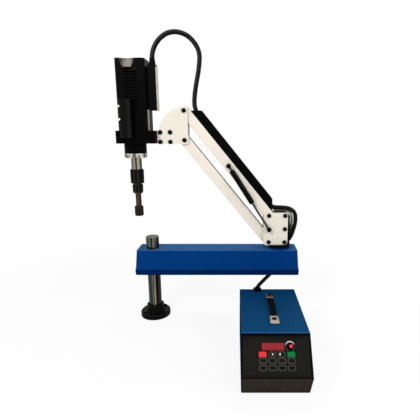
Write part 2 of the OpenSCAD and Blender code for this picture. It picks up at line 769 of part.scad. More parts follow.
// Clamp round the gearbox neck, with the tongue that the head plates are screwed to
module motor_clamp() color([0.05, 0.05, 0.05]) {
    half = clamp_w / 2;
    right = plates_left - 2;
    at_head() difference() {
        union() {
            linear_extrude(clamp_h) polygon([[-clamp_left + 4, -half], [right - 4, -half], [right, -half + 4],
                [right, half - 4], [right - 4, half], [-clamp_left + 4, half], [-clamp_left, half - 4],
                [-clamp_left, -half + 4]]);
            box([right - 1, -plate_inner, 0], [head_reach - link_h / 2 - 16, plate_inner, clamp_h]);
        }
        rod(neck_d + 2 * seat_gap, -1, clamp_h + 1);
        box([-clamp_left - 1, -1.5, -1], [-neck_d / 2 + 2, 1.5, clamp_h + 1]);
        for (z = [clamp_h * 0.25, clamp_h * 0.75]) translate([-clamp_left + 7, 0, z]) {
            rod_y(6, -half - 1, half + 1);
            rod_y(10.5, -half - 1, -half + 7);
        }
    }
}

module gearbox_neck() color([0.05, 0.05, 0.05]) {
    at_head() difference() {
        union() {
            rod(neck_d, -neck_drop, clamp_h);
            rod(neck_in_d, clamp_h, clamp_h + 12);
            rod(neck_in_d - 8, clamp_h + 12, clamp_h + 30);
        }
        rod(spindle_d + 2 * run_gap, -neck_drop - 1, 40);
    }
}

module castle_ring() color([0.78, 0.78, 0.76]) {
    at_head() difference() {
        rotate_extrude() polygon([[spindle_d / 2 + 2, -neck_drop - ring_h + 2], [neck_d / 2 - 3, -neck_drop - ring_h],
            [neck_d / 2 + 0.5, -neck_drop - ring_h + 3], [neck_d / 2 + 0.5, -neck_drop], [spindle_d / 2 + 2, -neck_drop]]);
        for (a = [0 : 30 : 330]) rotate(a)
            box([neck_d / 2 - 5, -3.5, -neck_drop - ring_h - 1], [neck_d / 2 + 3, 3.5, -neck_drop - 6]);
    }
}

module vent_slots(side) {
    top = housing_h + clamp_h - 34;
    for (i = [0 : vent_n - 1]) translate([vent_x, side * housing_d / 2, top - i * vent_pitch]) {
        box([-vent_l / 2 + vent_h / 2, -housing_wall - 2, -vent_h / 2], [vent_l / 2 - vent_h / 2, housing_wall + 2, vent_h / 2]);
        for (x = [-1, 1]) translate([x * (vent_l - vent_h) / 2, 0, 0]) rod_y(vent_h, -housing_wall - 2, housing_wall + 2);
    }
}

module motor_housing() color([0.05, 0.05, 0.05]) {
    top = clamp_h + housing_h;
    cap = 28;
    half = housing_d / 2;
    at_head() difference() {
        translate([0, 0, clamp_h]) linear_extrude(housing_h)
            chamfer_rect([-housing_left, -half], [housing_right, half], housing_chamfer);
        translate([0, 0, clamp_h - 1]) linear_extrude(housing_h - cap + 1)
            round_rect([-housing_left + housing_wall, -half + housing_wall],
                [housing_right - housing_wall, half - housing_wall], 3);
        for (side = [-1, 1]) vent_slots(side);
        hull() for (s = [[top + 1, scoop_deep], [top - cap - 1, scoop_deep / 4]])
            translate([-2, -half - scoop_r + s[1], s[0]]) cylinder(r = scoop_r, h = EPS);
        box([-9.5, -half - 1, top - 8], [-6.5, -half + 12, top + 1]);
    }
}

module servo_motor() color([0.12, 0.12, 0.13]) {
    half = housing_inside - 1.5;
    at_head() {
        translate([0, 0, clamp_h + 30]) linear_extrude(150) round_rect([-half, -half], [half, half], 8);
        rod(60, clamp_h + 180, clamp_h + 200);
        translate([half, -12, clamp_h + 130]) cube([(housing_right - housing_wall - half) * 0.875, 24, 30]);
    }
}

module spacer_bar() color([0.75, 0.74, 0.7]) {
    half = tbox_w / 2 - 2;
    at_head() translate([housing_right, tbox_y, 0]) box([0, -half, clamp_h], [bar_t, half, tbox_z + tbox_h - 8]);
}

module back_plate() color([0.04, 0.04, 0.04]) {
    half = tbox_w / 2;
    at_head() translate([housing_right + bar_t, tbox_y, 0]) box([0, -half, clamp_h], [back_t, half, tbox_z]);
}

module terminal_box() color([0.04, 0.04, 0.04]) {
    half = tbox_w / 2;
    at_head() translate([housing_right + bar_t, tbox_y, tbox_z]) difference() {
        linear_extrude(tbox_h) round_rect([0, -half], [tbox_l, half], 3);
        box([3, -half + 3, 3], [tbox_l + 1, half - 3, tbox_h - 3]);
    }
}

module terminal_lid() color([0.78, 0.77, 0.72]) {
    half = tbox_w / 2 - 1;
    at_head() translate([housing_right + bar_t + tbox_l, tbox_y, tbox_z]) slab_x(0, lid_t)
        polygon([[-half + 3, 0], [half - 3, 0], [half, 3], [half, tbox_h - 9], [half - 3, tbox_h - 6],
            [-half + 3, tbox_h - 6], [-half, tbox_h - 9], [-half, 3]]);
}

module head_gland() color([0.04, 0.04, 0.04]) {
    foot = tbox_z + tbox_h;
    at_head() translate([housing_right + bar_t + gland_in, tbox_y, 0]) difference() {
        rotate_extrude() polygon([[0, foot], [11.3, foot], [11.3, foot + 6], [10.4, foot + 8], [10, foot + 15],
            [0, foot + 15]]);
        rod(loop_cord_d + 1, foot + 4, foot + 16);
    }
}

// Grip seen from above: chamfers at its front corners and a low ridge down its front
module grip_outline(inset) {
    half = grip_w / 2 - inset;
    front = grip_y - grip_d + inset;
    cut = grip_chamfer;
    polygon([[-half + 2, grip_y], [-half, grip_y - 2], [-half, front + cut], [-half + cut, front + 1],
        [-2, front], [half - cut, front + 1], [half, front + cut], [half, grip_y - 2], [half - 2, grip_y]]);
}

// Middle of the grip's left front chamfer, with +Z pointing into the grip
module at_button(drop) {
    translate([grip_x - grip_w / 2 + grip_chamfer / 2, grip_y - grip_d + grip_chamfer / 2 + 0.5,
        grip_z + grip_h - drop]) rotate([0, 0, 45]) rotate([0, 90, 0]) children();
}

module grip() color([0.08, 0.08, 0.08]) {
    at_head() difference() {
        union() {
            translate([grip_x, 0, grip_z]) {
                linear_extrude(grip_h) grip_outline(grip_foot_inset);
                translate([0, 0, grip_foot]) linear_extrude(grip_h - grip_foot) grip_outline(0);
            }
            for (z = [grip_z + grip_h - 22, clamp_h + 2])
                box([grip_x - grip_w / 2 + 9, grip_y - 1, z], [grip_x + grip_w / 2 - 9, -housing_d / 2, z + 18]);
        }
        for (drop = button_drops) at_button(drop) rod(button_d + 2 * run_gap, -1, 8);
    }
}

module grip_button(drop) {
    at_head() at_button(drop)
        rotate_extrude() polygon([[0, -3.5], [button_d / 2 - 1, -3.5], [button_d / 2, -2.5],
            [button_d / 2, 8 - button_travel - face_gap], [0, 8 - button_travel - face_gap]]);
}

module grip_button_up() color([0.8, 0.8, 0.78]) grip_button(button_drops[0]);

module grip_button_down() color([0.8, 0.8, 0.78]) grip_button(button_drops[1]);

// ---- Tool end ----

module spindle() color([0.7, 0.71, 0.72]) {
    at_head() rotate_extrude() polygon([[0, chuck_top - 30], [nose_d / 2, chuck_top - 30], [nose_d / 2, chuck_top],
        [spindle_d / 2, chuck_top], [spindle_d / 2, 38], [0, 38]]);
}

module chuck_body() color([0.05, 0.05, 0.05]) {
    at_head() difference() {
        rotate_extrude() polygon([[0, chuck_foot], [chuck_d / 2 - 3, chuck_foot], [chuck_d / 2, chuck_foot + 3],
            [chuck_d / 2, chuck_foot + 10], [chuck_d / 2 - 1, chuck_foot + 11], [chuck_d / 2 - 1, chuck_foot + 13],
            [chuck_d / 2, chuck_foot + 14], [chuck_d / 2, chuck_top - 2], [chuck_d / 2 - 2, chuck_top], [0, chuck_top]]);
        rod(nose_d + 2 * seat_gap, chuck_top - 30.1, chuck_top + 1);
        rod(core_d + 2 * seat_gap, chuck_foot - 1, chuck_top - 31);
        for (a = [0 : 30 : 330]) rotate(a) box([chuck_d / 2 - 1.5, -2, chuck_foot + 17], [chuck_d, 2, chuck_top - 6]);
    }
}

module tap_holder() color([0.68, 0.69, 0.7]) {
    at_head() rotate_extrude() polygon([[0, socket_top - 12], [shank_d / 2, socket_top - 12], [shank_d / 2, shank_top],
        [sleeve_d / 2 - 5, shank_top], [sleeve_d / 2 - 2, shank_top + 3], [sleeve_d / 2 - 2, shank_top + 5],
        [core_d / 2, shank_top + 5], [core_d / 2, chuck_top - 31.2], [0, chuck_top - 31.2]]);
}

module quick_sleeve() color([0.05, 0.05, 0.05]) {
    at_head() rotate_extrude() polygon([[core_d / 2 + run_gap, sleeve_foot], [sleeve_d / 2 - 2, sleeve_foot],
        [sleeve_d / 2, sleeve_foot + 2], [sleeve_d / 2, sleeve_foot + 9], [sleeve_d / 2 - 1, sleeve_foot + 10],
        [sleeve_d / 2 - 1, sleeve_foot + 12], [sleeve_d / 2, sleeve_foot + 13], [sleeve_d / 2, sleeve_top - 1.5],
        [sleeve_d / 2 - 1.5, sleeve_top], [core_d / 2 + run_gap, sleeve_top]]);
}

module tap_socket() color([0.06, 0.06, 0.06]) {
    at_head() difference() {
        rotate_extrude() polygon([[0, socket_foot], [socket_d / 2 - 2, socket_foot], [socket_d / 2, socket_foot + 2],
            [socket_d / 2, socket_top - 3], [socket_d / 2 - 3, socket_top], [0, socket_top]]);
        rod(shank_d + 2 * seat_gap, socket_top - 12.1, socket_top + 1);
        rod(tap_bore, socket_foot - 1, socket_foot + tap_depth);
    }
}

// ---- Control box ----

module ctrl_side(inset) {
    polygon([[ctrl_rear - inset, foot_h], [ctrl_rear - inset, ctrl_h - inset], [ctrl_brow, ctrl_h - inset],
        [ctrl_fold + inset, fold_z], [ctrl_toe + inset, foot_h]]);
}

module control_cover() color([0.04, 0.26, 0.45]) {
    half = ctrl_w / 2;
    translate([ctrl_x, 0, 0]) {
        for (x = [-half, half - sheet_t]) slab_x(x, x + sheet_t) ctrl_side(0);
        difference() {
            box([-half + EPS, ctrl_brow, ctrl_h - sheet_t], [half - EPS, ctrl_rear, ctrl_h]);
            translate([gland_x - ctrl_x, 0, gland_z]) rod_y(gland_d, ctrl_rear - hood_l + sheet_t, ctrl_rear + 1);
        }
        translate([gland_x - ctrl_x, 0, gland_z]) difference() {
            rod_y(gland_d + 2 * sheet_t, ctrl_rear - hood_l, ctrl_rear);
            rod_y(gland_d, ctrl_rear - hood_l + sheet_t, ctrl_rear + 1);
            box([-gland_d, ctrl_rear - hood_l - 1, -gland_d], [gland_d, ctrl_rear + 1, ctrl_h - gland_z - sheet_t]);
        }
    }
}

// Front of the box: its sloping panel, the panel below it and a return under the cover's top
module control_fascia() color([0.13, 0.12, 0.11]) {
    half = inner_w / 2;
    top = ctrl_h - sheet_t - EPS;
    brow = ctrl_brow;
    difference() {
        translate([ctrl_x, 0, 0]) slab_x(-half, half) difference() {
            polygon([[brow + 20, top], [brow, top], [ctrl_fold, fold_z], [ctrl_toe, foot_h], [ctrl_toe + 20, foot_h],
                [ctrl_toe + 20, foot_h + panel_t], [brow + 20, top - panel_t]]);
            polygon([[brow + 21, top - panel_t], [brow + 2, top - panel_t], [ctrl_fold + panel_t + 1, fold_z],
                [ctrl_toe + panel_t, foot_h + panel_t], [ctrl_toe + 21, foot_h + panel_t]]);
        }
        on_slope() {
            translate([knob_x, knob_s, -6]) cylinder(d = 7, h = 12);
            box([-42.5, 72, -6], [23.5, 92, 3]);
        }
    }
}

module display_window() color([0.6, 0.08, 0.1]) {
    on_slope() box([-42, 72.5, -panel_t + 0.5], [23, 91.5, 0.8]);
}

module keypad() color([0.09, 0.09, 0.09]) {
    key_l = 21.5;
    rows = [54.5, 38, 19.5];
    on_slope() {
        linear_extrude(0.6) round_rect([-keys_w / 2 - 3, 14], [keys_w / 2 + 3, 70.5], 3);
        for (i = [0 : 3], z = rows) translate([-keys_w / 2 + i * (keys_w - key_l) / 3, z, 0.6])
            linear_extrude(0.9) round_rect([0, 0], [key_l, 14], 2.5);
    }
}

module speed_knob() color([0.03, 0.03, 0.03]) {
    on_slope() translate([knob_x, knob_s, 0]) {
        difference() {
            rotate_extrude() polygon([[0, -5], [3, -5], [3, face_gap], [knob_d / 2, face_gap], [knob_d / 2, 12],
                [knob_d / 2 - 1, 13], [0, 13]]);
            for (a = [0 : 30 : 330]) rotate(a) box([knob_d / 2 - 0.7, -0.8, 2.5], [knob_d, 0.8, 14]);
        }
    }
}

module control_chassis() color([0.1, 0.1, 0.1]) {
    half = inner_w / 2;
    translate([ctrl_x, 0, 0]) difference() {
        union() {
            box([-half, ctrl_toe + 21, foot_h], [half, ctrl_rear, foot_h + sheet_t]);
            box([-half, ctrl_rear - sheet_t, foot_h], [half, ctrl_rear, ctrl_h - sheet_t - face_gap]);
        }
        box([inlet_x - ctrl_x - 13.5, ctrl_rear - 5, switch_z - 10], [inlet_x - ctrl_x + 13.5, ctrl_rear + 1, switch_z + 10]);
        box([switch_x - ctrl_x - 9.7, ctrl_rear - 5, switch_z - 13.7], [switch_x - ctrl_x + 9.7, ctrl_rear + 1, switch_z + 13.7]);
        translate([gland_x - ctrl_x, 0, gland_z]) rod_y(gland_d + 2 * sheet_t + 1, ctrl_rear - 5, ctrl_rear + 1);
        for (x = [-60 : 12 : -12]) slab_x_slot(x);
    }
}

module slab_x_slot(x) {
    box([x, ctrl_rear - 5, 40], [x + 5, ctrl_rear + 1, 85]);
}

module control_feet() color([0.04, 0.04, 0.04]) {
    for (x = [-1, 1], y = [ctrl_rear - 25, ctrl_toe + 35]) translate([ctrl_x + x * (ctrl_w / 2 - 22), y, 0])
        rotate_extrude() polygon([[0, 0], [8, 0], [9, 1], [10, foot_h], [0, foot_h]]);
}

module mains_inlet() color([0.04, 0.04, 0.04]) {
    translate([inlet_x, ctrl_rear, switch_z]) difference() {
        union() {
            box([-13, -22, -9.5], [13, 0, 9.5]);
            box([-20, 0, -12], [20, 3, 12]);
        }
        box([-11, -18, -7.5], [11, 4, 7.5]);
    }
}

module power_switch() color([0.6, 0.05, 0.05]) {
    translate([switch_x, ctrl_rear, switch_z]) slab_x(-9, 9)
        polygon([[-10, -7], [1.5, -13], [5, -12.6], [2.2, 0], [2.8, 12.6], [1, 13], [-10, 7]]);
}

// Round cable gland behind the rear panel, its nut level with the cover's rear edge
module control_gland() color([0.05, 0.05, 0.05]) {
    translate([gland_x, 0, gland_z]) difference() {
        translate([0, ctrl_rear, 0]) rotate([-90, 0, 0]) rotate_extrude() polygon([[0, 0], [gland_d / 2 + 1, 0],
            [gland_d / 2 + 1, 7], [gland_d / 2 - 2, 10], [gland_r, 11], [gland_r - 1, 20], [0, 20]]);
        rod_y(control_cord_d + 1, ctrl_rear + 12, ctrl_rear + 21);
    }
}

gland_r = control_cord_d / 2 + 4;

module drive_unit() color([0.35, 0.36, 0.36]) {
    translate([ctrl_x, 0, 0]) {
        box([-82, ctrl_rear - 200, foot_h + sheet_t], [-22, ctrl_rear - 40, 150]);
        box([10, ctrl_rear - 150, foot_h + sheet_t], [80, ctrl_rear - 60, 90]);
    }
}

// Strap handle with a raised middle
module handle_strap() color([0.04, 0.04, 0.04]) {
    mid = handle_y();
    half = handle_l / 2 - 14;
    slab_x(ctrl_x + 3 - 10, ctrl_x + 3 + 10) polygon([for (p = [[-half, 3], [-half + 26, 3.3],
        [-half + 46, 9.5], [0, 11.5], [half - 46, 9.5], [half - 26, 3.3], [half, 3], [half, 6], [half - 26, 6.3],
        [half - 46, 12.5], [0, 15], [-half + 46, 12.5], [-half + 26, 6.3], [-half, 6]]) [mid + p[0], ctrl_h + p[1]]]);
}

function handle_y() = (ctrl_rear + ctrl_brow) / 2 - 1;

module handle_caps() color([0.8, 0.78, 0.74]) {
    for (side = [-1, 1]) translate([ctrl_x + 3, handle_y() + side * (handle_l / 2 - 13), ctrl_h])
        rotate([0, 0, side > 0 ? 0 : 180]) difference() {
            slab_x(-13, 13) polygon([[-23, 0], [13, 0], [15, 3], [10, 9], [-18, 9.6], [-23, 8.5]]);
            box([-10 - face_gap, -30, 2.6], [10 + face_gap, 0, 6.9]);
            box([-6, -11, 6], [6, 3, 11]);
        }
}

// ---- Cables ----

module head_loop() color([0.04, 0.04, 0.04]) cord_tube(head_loop_path, loop_cord_d);

module base_cable_outer() color([0.04, 0.04, 0.04]) cord_tube(outer_cord_path, outer_cord_d);

module base_cable_inner() color([0.3, 0.28, 0.25]) cord_tube(inner_cord_path, inner_cord_d);

module control_cable_lower() color([0.04, 0.04, 0.04]) 
    cord_tube(control_lower_path, control_cord_d, [1, -0.6, 0]);

module control_cable_upper() color([0.04, 0.04, 0.04]) 
    cord_tube(control_upper_path, control_cord_d, [1, -0.6, 0]);

column_flange();
column_post();
control_cover();
control_fascia();
control_chassis();
display_window();
keypad();
handle_strap();
handle_caps();
control_feet();
mains_inlet();
control_gland();
drive_unit();
speed_knob();
power_switch();
height_collar();
collar_screw();
beam_casting();
column_bushes();
swivel_bearing();
pivot_grommet();
swivel_base();
pivot_nut();
base_plates();
base_screws();
base_pins();
upper_link();
upper_bushes();
cable_cover();
gas_stud();
lower_link();
lower_bushes();
gas_cylinder();
gas_rod();
head_plates();
head_screws();
head_pins();
motor_clamp();
motor_housing();
servo_motor();
gearbox_neck();
castle_ring();
spacer_bar();
back_plate();
terminal_box();
terminal_lid();
head_gland();
grip();
grip_button_up();
grip_button_down();
spindle();
chuck_body();
tap_holder();
tap_socket();
quick_sleeve();
head_loop();
base_cable_outer();
base_cable_inner();
control_cable_lower();
control_cable_upper();
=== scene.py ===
"""Looks of an arm tapping machine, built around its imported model.

Every piece is in metres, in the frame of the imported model: the column flange's foot is the
origin, +Z is up and the beam runs along +X.
"""

import json
import math

import bmesh
import bpy
from mathutils import Matrix, Vector


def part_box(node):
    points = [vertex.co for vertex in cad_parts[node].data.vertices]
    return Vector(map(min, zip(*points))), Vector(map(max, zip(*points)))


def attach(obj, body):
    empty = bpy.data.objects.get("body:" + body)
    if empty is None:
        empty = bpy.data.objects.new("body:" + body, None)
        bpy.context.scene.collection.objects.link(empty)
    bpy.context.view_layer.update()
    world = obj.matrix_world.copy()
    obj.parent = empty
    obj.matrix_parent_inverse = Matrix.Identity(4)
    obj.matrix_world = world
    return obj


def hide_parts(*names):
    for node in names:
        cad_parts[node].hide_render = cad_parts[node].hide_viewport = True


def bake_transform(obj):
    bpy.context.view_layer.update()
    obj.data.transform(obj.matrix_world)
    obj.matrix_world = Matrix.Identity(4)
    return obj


bl_info = {
    "name": "Arm Tapping Machine",
    "version": (1, 0, 0),
    "blender": (4, 5, 0),
    "location": "View3D > Sidebar > Tapping Machine",
    "description": "Builds the looks of an arm tapping machine around its packed model",
    "category": "Add Mesh",
}

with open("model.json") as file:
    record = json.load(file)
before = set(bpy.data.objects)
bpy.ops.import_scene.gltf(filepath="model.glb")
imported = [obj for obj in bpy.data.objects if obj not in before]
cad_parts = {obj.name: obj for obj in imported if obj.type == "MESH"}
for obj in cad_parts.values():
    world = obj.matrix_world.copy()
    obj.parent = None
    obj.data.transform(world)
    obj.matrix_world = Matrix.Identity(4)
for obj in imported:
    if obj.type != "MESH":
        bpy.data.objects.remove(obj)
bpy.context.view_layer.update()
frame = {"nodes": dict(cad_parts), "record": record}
BODY = {node: body for body, members in frame["record"]["behaviour"]["bodies"].items() for node in members}

# Where the arm's pivots and the head stand at rest, in millimetres
ARM_ANGLE = math.radians(51)
ARM_L = 493
BASE_PIVOT = (450, 414.5)
LINK_GAP = 103.5
HEAD_PIVOT = (BASE_PIVOT[0] - ARM_L * math.cos(ARM_ANGLE), BASE_PIVOT[1] + ARM_L * math.sin(ARM_ANGLE))
AXIS_X = HEAD_PIVOT[0] - 184.5
CLAMP_Z = HEAD_PIVOT[1] - 115
GAS_STUD = (BASE_PIVOT[0] - 241 * math.cos(ARM_ANGLE), BASE_PIVOT[1] + 241 * math.sin(ARM_ANGLE))
GAS_FOOT = (BASE_PIVOT[0], BASE_PIVOT[1] - LINK_GAP / 2)
BOX_X = 436.5
TERMINAL_Y = -17
BEAM_TOP = 282
SLOPE_ANGLE = math.atan2(94, 70)
PLATE_FACE = 26  # half the width over the arm's plates
GAS_SCREW_Y = -38.3  # underside of the heads that hold the gas spring
GLAND_X = 34.4
HALF_FRONT = 95.6  # half the width of the control box's front
FRONT_FOLD = (BOX_X, -500, 75)  # middle of the fold between the front's two faces

# Screws' shanks as (radius, depth under the head), in millimetres
SCREW_SHANK = [(4, -6)]
PIN_SHANK = [(6, -25.9)]

# Routes of the cables, in millimetres, as in the part's source
HEAD_LOOP = [
    (34.4, -17, 956), (34.4, -17, 974), (37.7, -16.4, 995), (47.2, -15, 1017), (63.6, -12.6, 1038),
    (87.8, -9.6, 1054.5), (117, -6.6, 1060), (145.6, -4, 1053.6), (167.3, -1.8, 1040), (185.1, -0.5, 1019),
    (195, 0, 997), (197, 0, 972), (192, 0, 931), (185, 0, 897), (179, 0, 863), (176, 0, 835), (177, 0, 812),
    (184, 0, 792), (200, 0, 769), (225, 0, 738), (256, 0, 700), (288, 0, 661), (320, 0, 621), (352, 0, 582),
    (384, 0, 542), (412, -0.5, 508), (424, -1, 492.7), (437.9, -3, 472.2), (444.5, -4, 463.8),
    (450.5, -4.9, 456.3), (453.7, -5.2, 452.7), (457.6, -5.4, 449.3), (461, -5.4, 447.9),
]
BASE_OUTER = [
    (461.7, -5.4, 447.4), (466.4, -5.5, 445.3), (471.6, -5.7, 444), (477, -5.9, 443.4),
    (490, -6.2, 443), (503, -6.5, 442.4), (519.8, -6.9, 440.6), (531.5, -7.1, 436.6), (541.5, -7.2, 430),
    (547.5, -7.2, 422.5), (551, -7.2, 413.5), (552.3, -7.3, 402), (552, -7.4, 386), (549.6, -7.5, 371),
    (545.6, -7.5, 356), (541.1, -7.5, 340.7), (535, -7.5, 327), (528.5, -7.5, 317), (521, -7.5, 309.6),
    (513, -7.5, 302.5), (508, -7.5, 298),
]
BASE_INNER = [
    (461.3, 8.3, 440.3), (466, 8.3, 437.4), (471.5, 8.3, 434.5), (478, 8.3, 432),
    (486, 8.3, 430.7), (496, 8.3, 430.2), (507, 8.3, 430), (518, 8.3, 428.6), (527.5, 8.3, 424.8),
    (534.3, 8.4, 418.3), (538.7, 8.4, 409.5), (540.6, 8.5, 399), (540.6, 8.5, 386), (539.4, 8.5, 370),
    (538.2, 8.5, 354), (537.9, 8.4, 340), (536.8, 8.3, 329), (533, 8.1, 321), (527.3, 8, 314.8),
    (520.5, 7.8, 309), (509, 7.8, 299),
]
CONTROL_LOWER = [
    (402, -121, 160), (402, -114, 160.5), (405, -105, 163), (411, -95, 166),
    (418, -84, 168.5), (425, -73, 170.5), (433, -60, 172.5), (441, -48, 174.5),
]
CONTROL_UPPER = [
    (441.6, -47.2, 174.8), (450, -36, 178), (460, -25, 183), (471, -15, 189),
    (482, -7, 197), (489, -2, 206), (492, 0, 217), (492, 0, 236),
]


def linear(red, green, blue):
    """Colour of a screen value from 0 to 255, as the shaders take it."""
    shares = [c / 255 for c in (red, green, blue)]
    return tuple(c / 12.92 if c <= 10 / 255 else ((c + 0.055) / 1.055) ** 2.4 for c in shares)


def colour_setting(name, description, *screen_colour):
    return bpy.props.FloatVectorProperty(name=name, description=description, subtype="COLOR", size=3,
                                         min=0, max=1, default=linear(*screen_colour))


def length_setting(name, description, default, low, high):
    return bpy.props.FloatProperty(name=name, description=description, unit="LENGTH",
                                   default=default, min=low, max=high)


class TAPPING_PG_colours(bpy.types.PropertyGroup):
    beam_blue: colour_setting("Beam blue", "Enamel on the cast beam", 0, 54, 117)
    cream: colour_setting("Cream", "Powder coat on the links and the plates", 232, 225, 211)
    panel: colour_setting("Panel", "Near-black paint on the control box's front", 28, 27, 24)
    black: colour_setting("Black", "Black of the motor head and the covers", 3, 3, 3)
    display: colour_setting("Display red", "Red window over the digits", 136, 38, 40)
    stop_key: colour_setting("Red key", "Colour of the red key", 226, 52, 60)
    start_key: colour_setting("Green key", "Colour of the green key", 6, 120, 56)


class TAPPING_PG_sizes(bpy.types.PropertyGroup):
    casting_edge: length_setting("Casting edge", "Rounding of the cast beam's edges", 0.0016, 0.0002, 0.003)
    plate_edge: length_setting("Plate edge", "Rounding of the plates' edges", 0.0007, 0.0001, 0.002)
    socket: length_setting("Screw socket", "From a socket's middle to its corners", 0.0029, 0.001, 0.004)
    cable_sides: bpy.props.IntProperty(
        name="Cable sides", description="Sides of the cables' tubes", default=20, min=8, max=48)


def power_setting(name, description, default):
    return bpy.props.FloatProperty(name=name, description=description, default=default, min=0)


class TAPPING_PG_studio(bpy.types.PropertyGroup):
    key: power_setting("Key lamp", "Power of the large lamp at the upper left, in watts", 30)
    fill: power_setting("Fill lamp", "Power of the lamp at the right, in watts", 16)
    top: power_setting("Top lamp", "Power of the lamp above, in watts", 16)
    ambient: bpy.props.FloatProperty(
        name="Ambient", description="Level of the soft light from all sides", default=0.5, min=0, max=1)
    floor: length_setting("Floor size", "Half the width of the floor", 30, 3, 100)


def colours():
    return bpy.context.scene.tapping_colours


def sizes():
    return bpy.context.scene.tapping_sizes


# ---- Finishes ----


def wire(tree, kind, inputs=None, **options):
    """Adds a shader node; each input is given as a value or as the output that feeds it."""
    made = tree.nodes.new("ShaderNode" + kind)
    for name, value in options.items():
        setattr(made, name, value)
    for name, value in (inputs or {}).items():
        if isinstance(value, bpy.types.NodeSocket):
            tree.links.new(value, made.inputs[name])
        else:
            made.inputs[name].default_value = value
    return made


def maths(tree, operation, *inputs):
    """The output of one operation on numbers and outputs."""
    return wire(tree, "Math", dict(enumerate(inputs)), operation=operation).outputs[0]


def mapped(tree, value, low, high, to_low=0, to_high=1):
    """An output whose range from low to high is mapped to another range."""
    return wire(tree, "MapRange", {"Value": value, "From Min": low, "From Max": high, "To Min": to_low,
                                   "To Max": to_high}).outputs["Result"]


def noise(tree, where, scale, detail):
    return wire(tree, "TexNoise", {"Vector": where, "Scale": scale, "Detail": detail}).outputs["Fac"]


def mixed(tree, first, second, share):
    """The colour of two that are mixed by the second one's share."""
    return wire(tree, "Mix", {"A": first, "B": second, "Factor": share}, data_type="RGBA").outputs["Result"]


def places(tree, **change):
    """Places in the object's own frame, moved or scaled where that is asked."""
    where = wire(tree, "TexCoord").outputs["Object"]
    return wire(tree, "Mapping", {"Vector": where, **change}).outputs["Vector"] if change else where


def colour_ramp(tree, stops, part):
    """The colour that a ramp gives for part; its two end stops come before those between them."""
    ramp = wire(tree, "ValToRGB", {"Fac": part})
    elements = ramp.color_ramp.elements
    for i, (at, *screen) in enumerate(stops):
        element = elements[i] if i < 2 else elements.new(at)
        element.position = at
        element.color = (*linear(*screen), 1)
    return ramp.outputs["Color"]


def show(tree, **feeds):
    """Feeds the shader's inputs; an underscore in a name stands for a space."""
    for name, output in feeds.items():
        tree.links.new(output, tree.nodes["Principled BSDF"].inputs[name.replace("_", " ")])


def finish(name, colour, rough, metallic=0.0, specular=0.5, mottle=(0.08, 30), grain=(0.15, 900),
           stretch=(1, 1, 1), sheen_spread=0.08, edge=None):
    """Node material: a faint mottle in its colour, an uneven gloss and a fine relief, at their real scale.

    mottle and grain are (strength, scale), stretch scales the grain along X, Y and Z, and edge is a lighter
    colour
    that shows along edges: partly wear where the coat is thin, partly a painted highlight on the rounded
    edges."""
    found = bpy.data.materials.get(name)
    if found:
        return found
    material = bpy.data.materials.new(name)
    material.use_nodes = True
    tree = material.node_tree
    shader = tree.nodes["Principled BSDF"]
    shader.inputs["Metallic"].default_value = metallic
    shader.inputs["Specular IOR Level"].default_value = specular
    dark, light = [(*[min(1, c * share) for c in colour[:3]], 1) for share in (1 - mottle[0], 1 + mottle[0])]
    cloud = noise(tree, places(tree), mottle[1], 5)
    shown = mixed(tree, dark, light, mapped(tree, cloud, 0.32, 0.68))
    fine = noise(tree, places(tree, Scale=stretch), grain[1], 3)
    gloss = mapped(tree, fine, 0.3, 0.7, max(0.04, rough - sheen_spread), min(1, rough + sheen_spread))
    # Lighter along the edges: partly wear, partly a painted highlight.
    if edge is not None:
        rounded = wire(tree, "Bevel", {"Radius": 0.0012}, samples=4).outputs["Normal"]
        flat = wire(tree, "NewGeometry").outputs["Normal"]
        match = wire(tree, "VectorMath", {0: rounded, 1: flat}, operation="DOT_PRODUCT").outputs["Value"]
        shown = mixed(tree, shown, (*edge[:3], 1), mapped(tree, match, 0.985, 0.9, 0, 0.55))
    relief = wire(tree, "Bump", {"Strength": grain[0], "Distance": 0.0003, "Height": fine}).outputs["Normal"]
    show(tree, Base_Color=shown, Roughness=gloss, Normal=relief)
    return material


def beam_enamel():
    return finish("beam enamel", colours().beam_blue, 0.45, specular=0.02, mottle=(0.17, 230),
                  grain=(0.4, 520), sheen_spread=0.1, edge=linear(24, 76, 140))


# The beam's top is a lighter copy of its enamel: a painted reflection of the light from above.
def beam_top_painted_reflection():
    return finish("beam top painted reflection", linear(51, 91, 140), 0.5, specular=0.0, mottle=(0.08, 120),
                  grain=(0.3, 520))


# The beam's lower lip is a darker copy of its enamel: painted shade.
def beam_foot_painted_shade():
    return finish("beam foot painted shade", linear(0, 35, 82), 0.45, specular=0.0, mottle=(0.08, 260),
                  grain=(0.3, 520))


# Lighter towards the front and darker towards the back: a painted light falloff over the box's paint.
def box_paint_with_painted_light():
    return graded("box paint with painted light", 1, [(-430, 9, 61, 100), (-300, 6, 57, 95), (-138, 0, 46, 84)],
                  rough=0.55, specular=0.02, mottle=(0.25, 150), grain=(0.3, 1400))


# The box's sides get a darker copy of its paint: painted shade.
def box_side_painted_shade():
    return finish("box side painted shade", linear(0, 26, 62), 0.6, specular=0.0, mottle=(0.12, 150),
                  grain=(0.3, 1400))


def cream_coat():
    return finish("cream powder coat", colours().cream, 0.5, specular=0.2, mottle=(0.03, 12),
                  grain=(0.2, 1100), edge=linear(252, 247, 234))


def panel_paint():
    return finish("panel paint", colours().panel, 0.6, specular=0.02, mottle=(0.1, 140), grain=(0.3, 1600))


def lower_panel_paint():
    return finish("lower panel paint", linear(49, 42, 35), 0.6, specular=0.02, mottle=(0.42, 200),
                  grain=(0.3, 1600))


def head_black():
    return finish("head black", colours().black, 0.4, specular=0.03, mottle=(0.3, 20), grain=(0.2, 1300),
                  edge=linear(34, 33, 31))


def grip_black():
    return finish("grip moulding", linear(9, 9, 8), 0.5, specular=0.05, mottle=(0.25, 30), grain=(0.5, 1700))


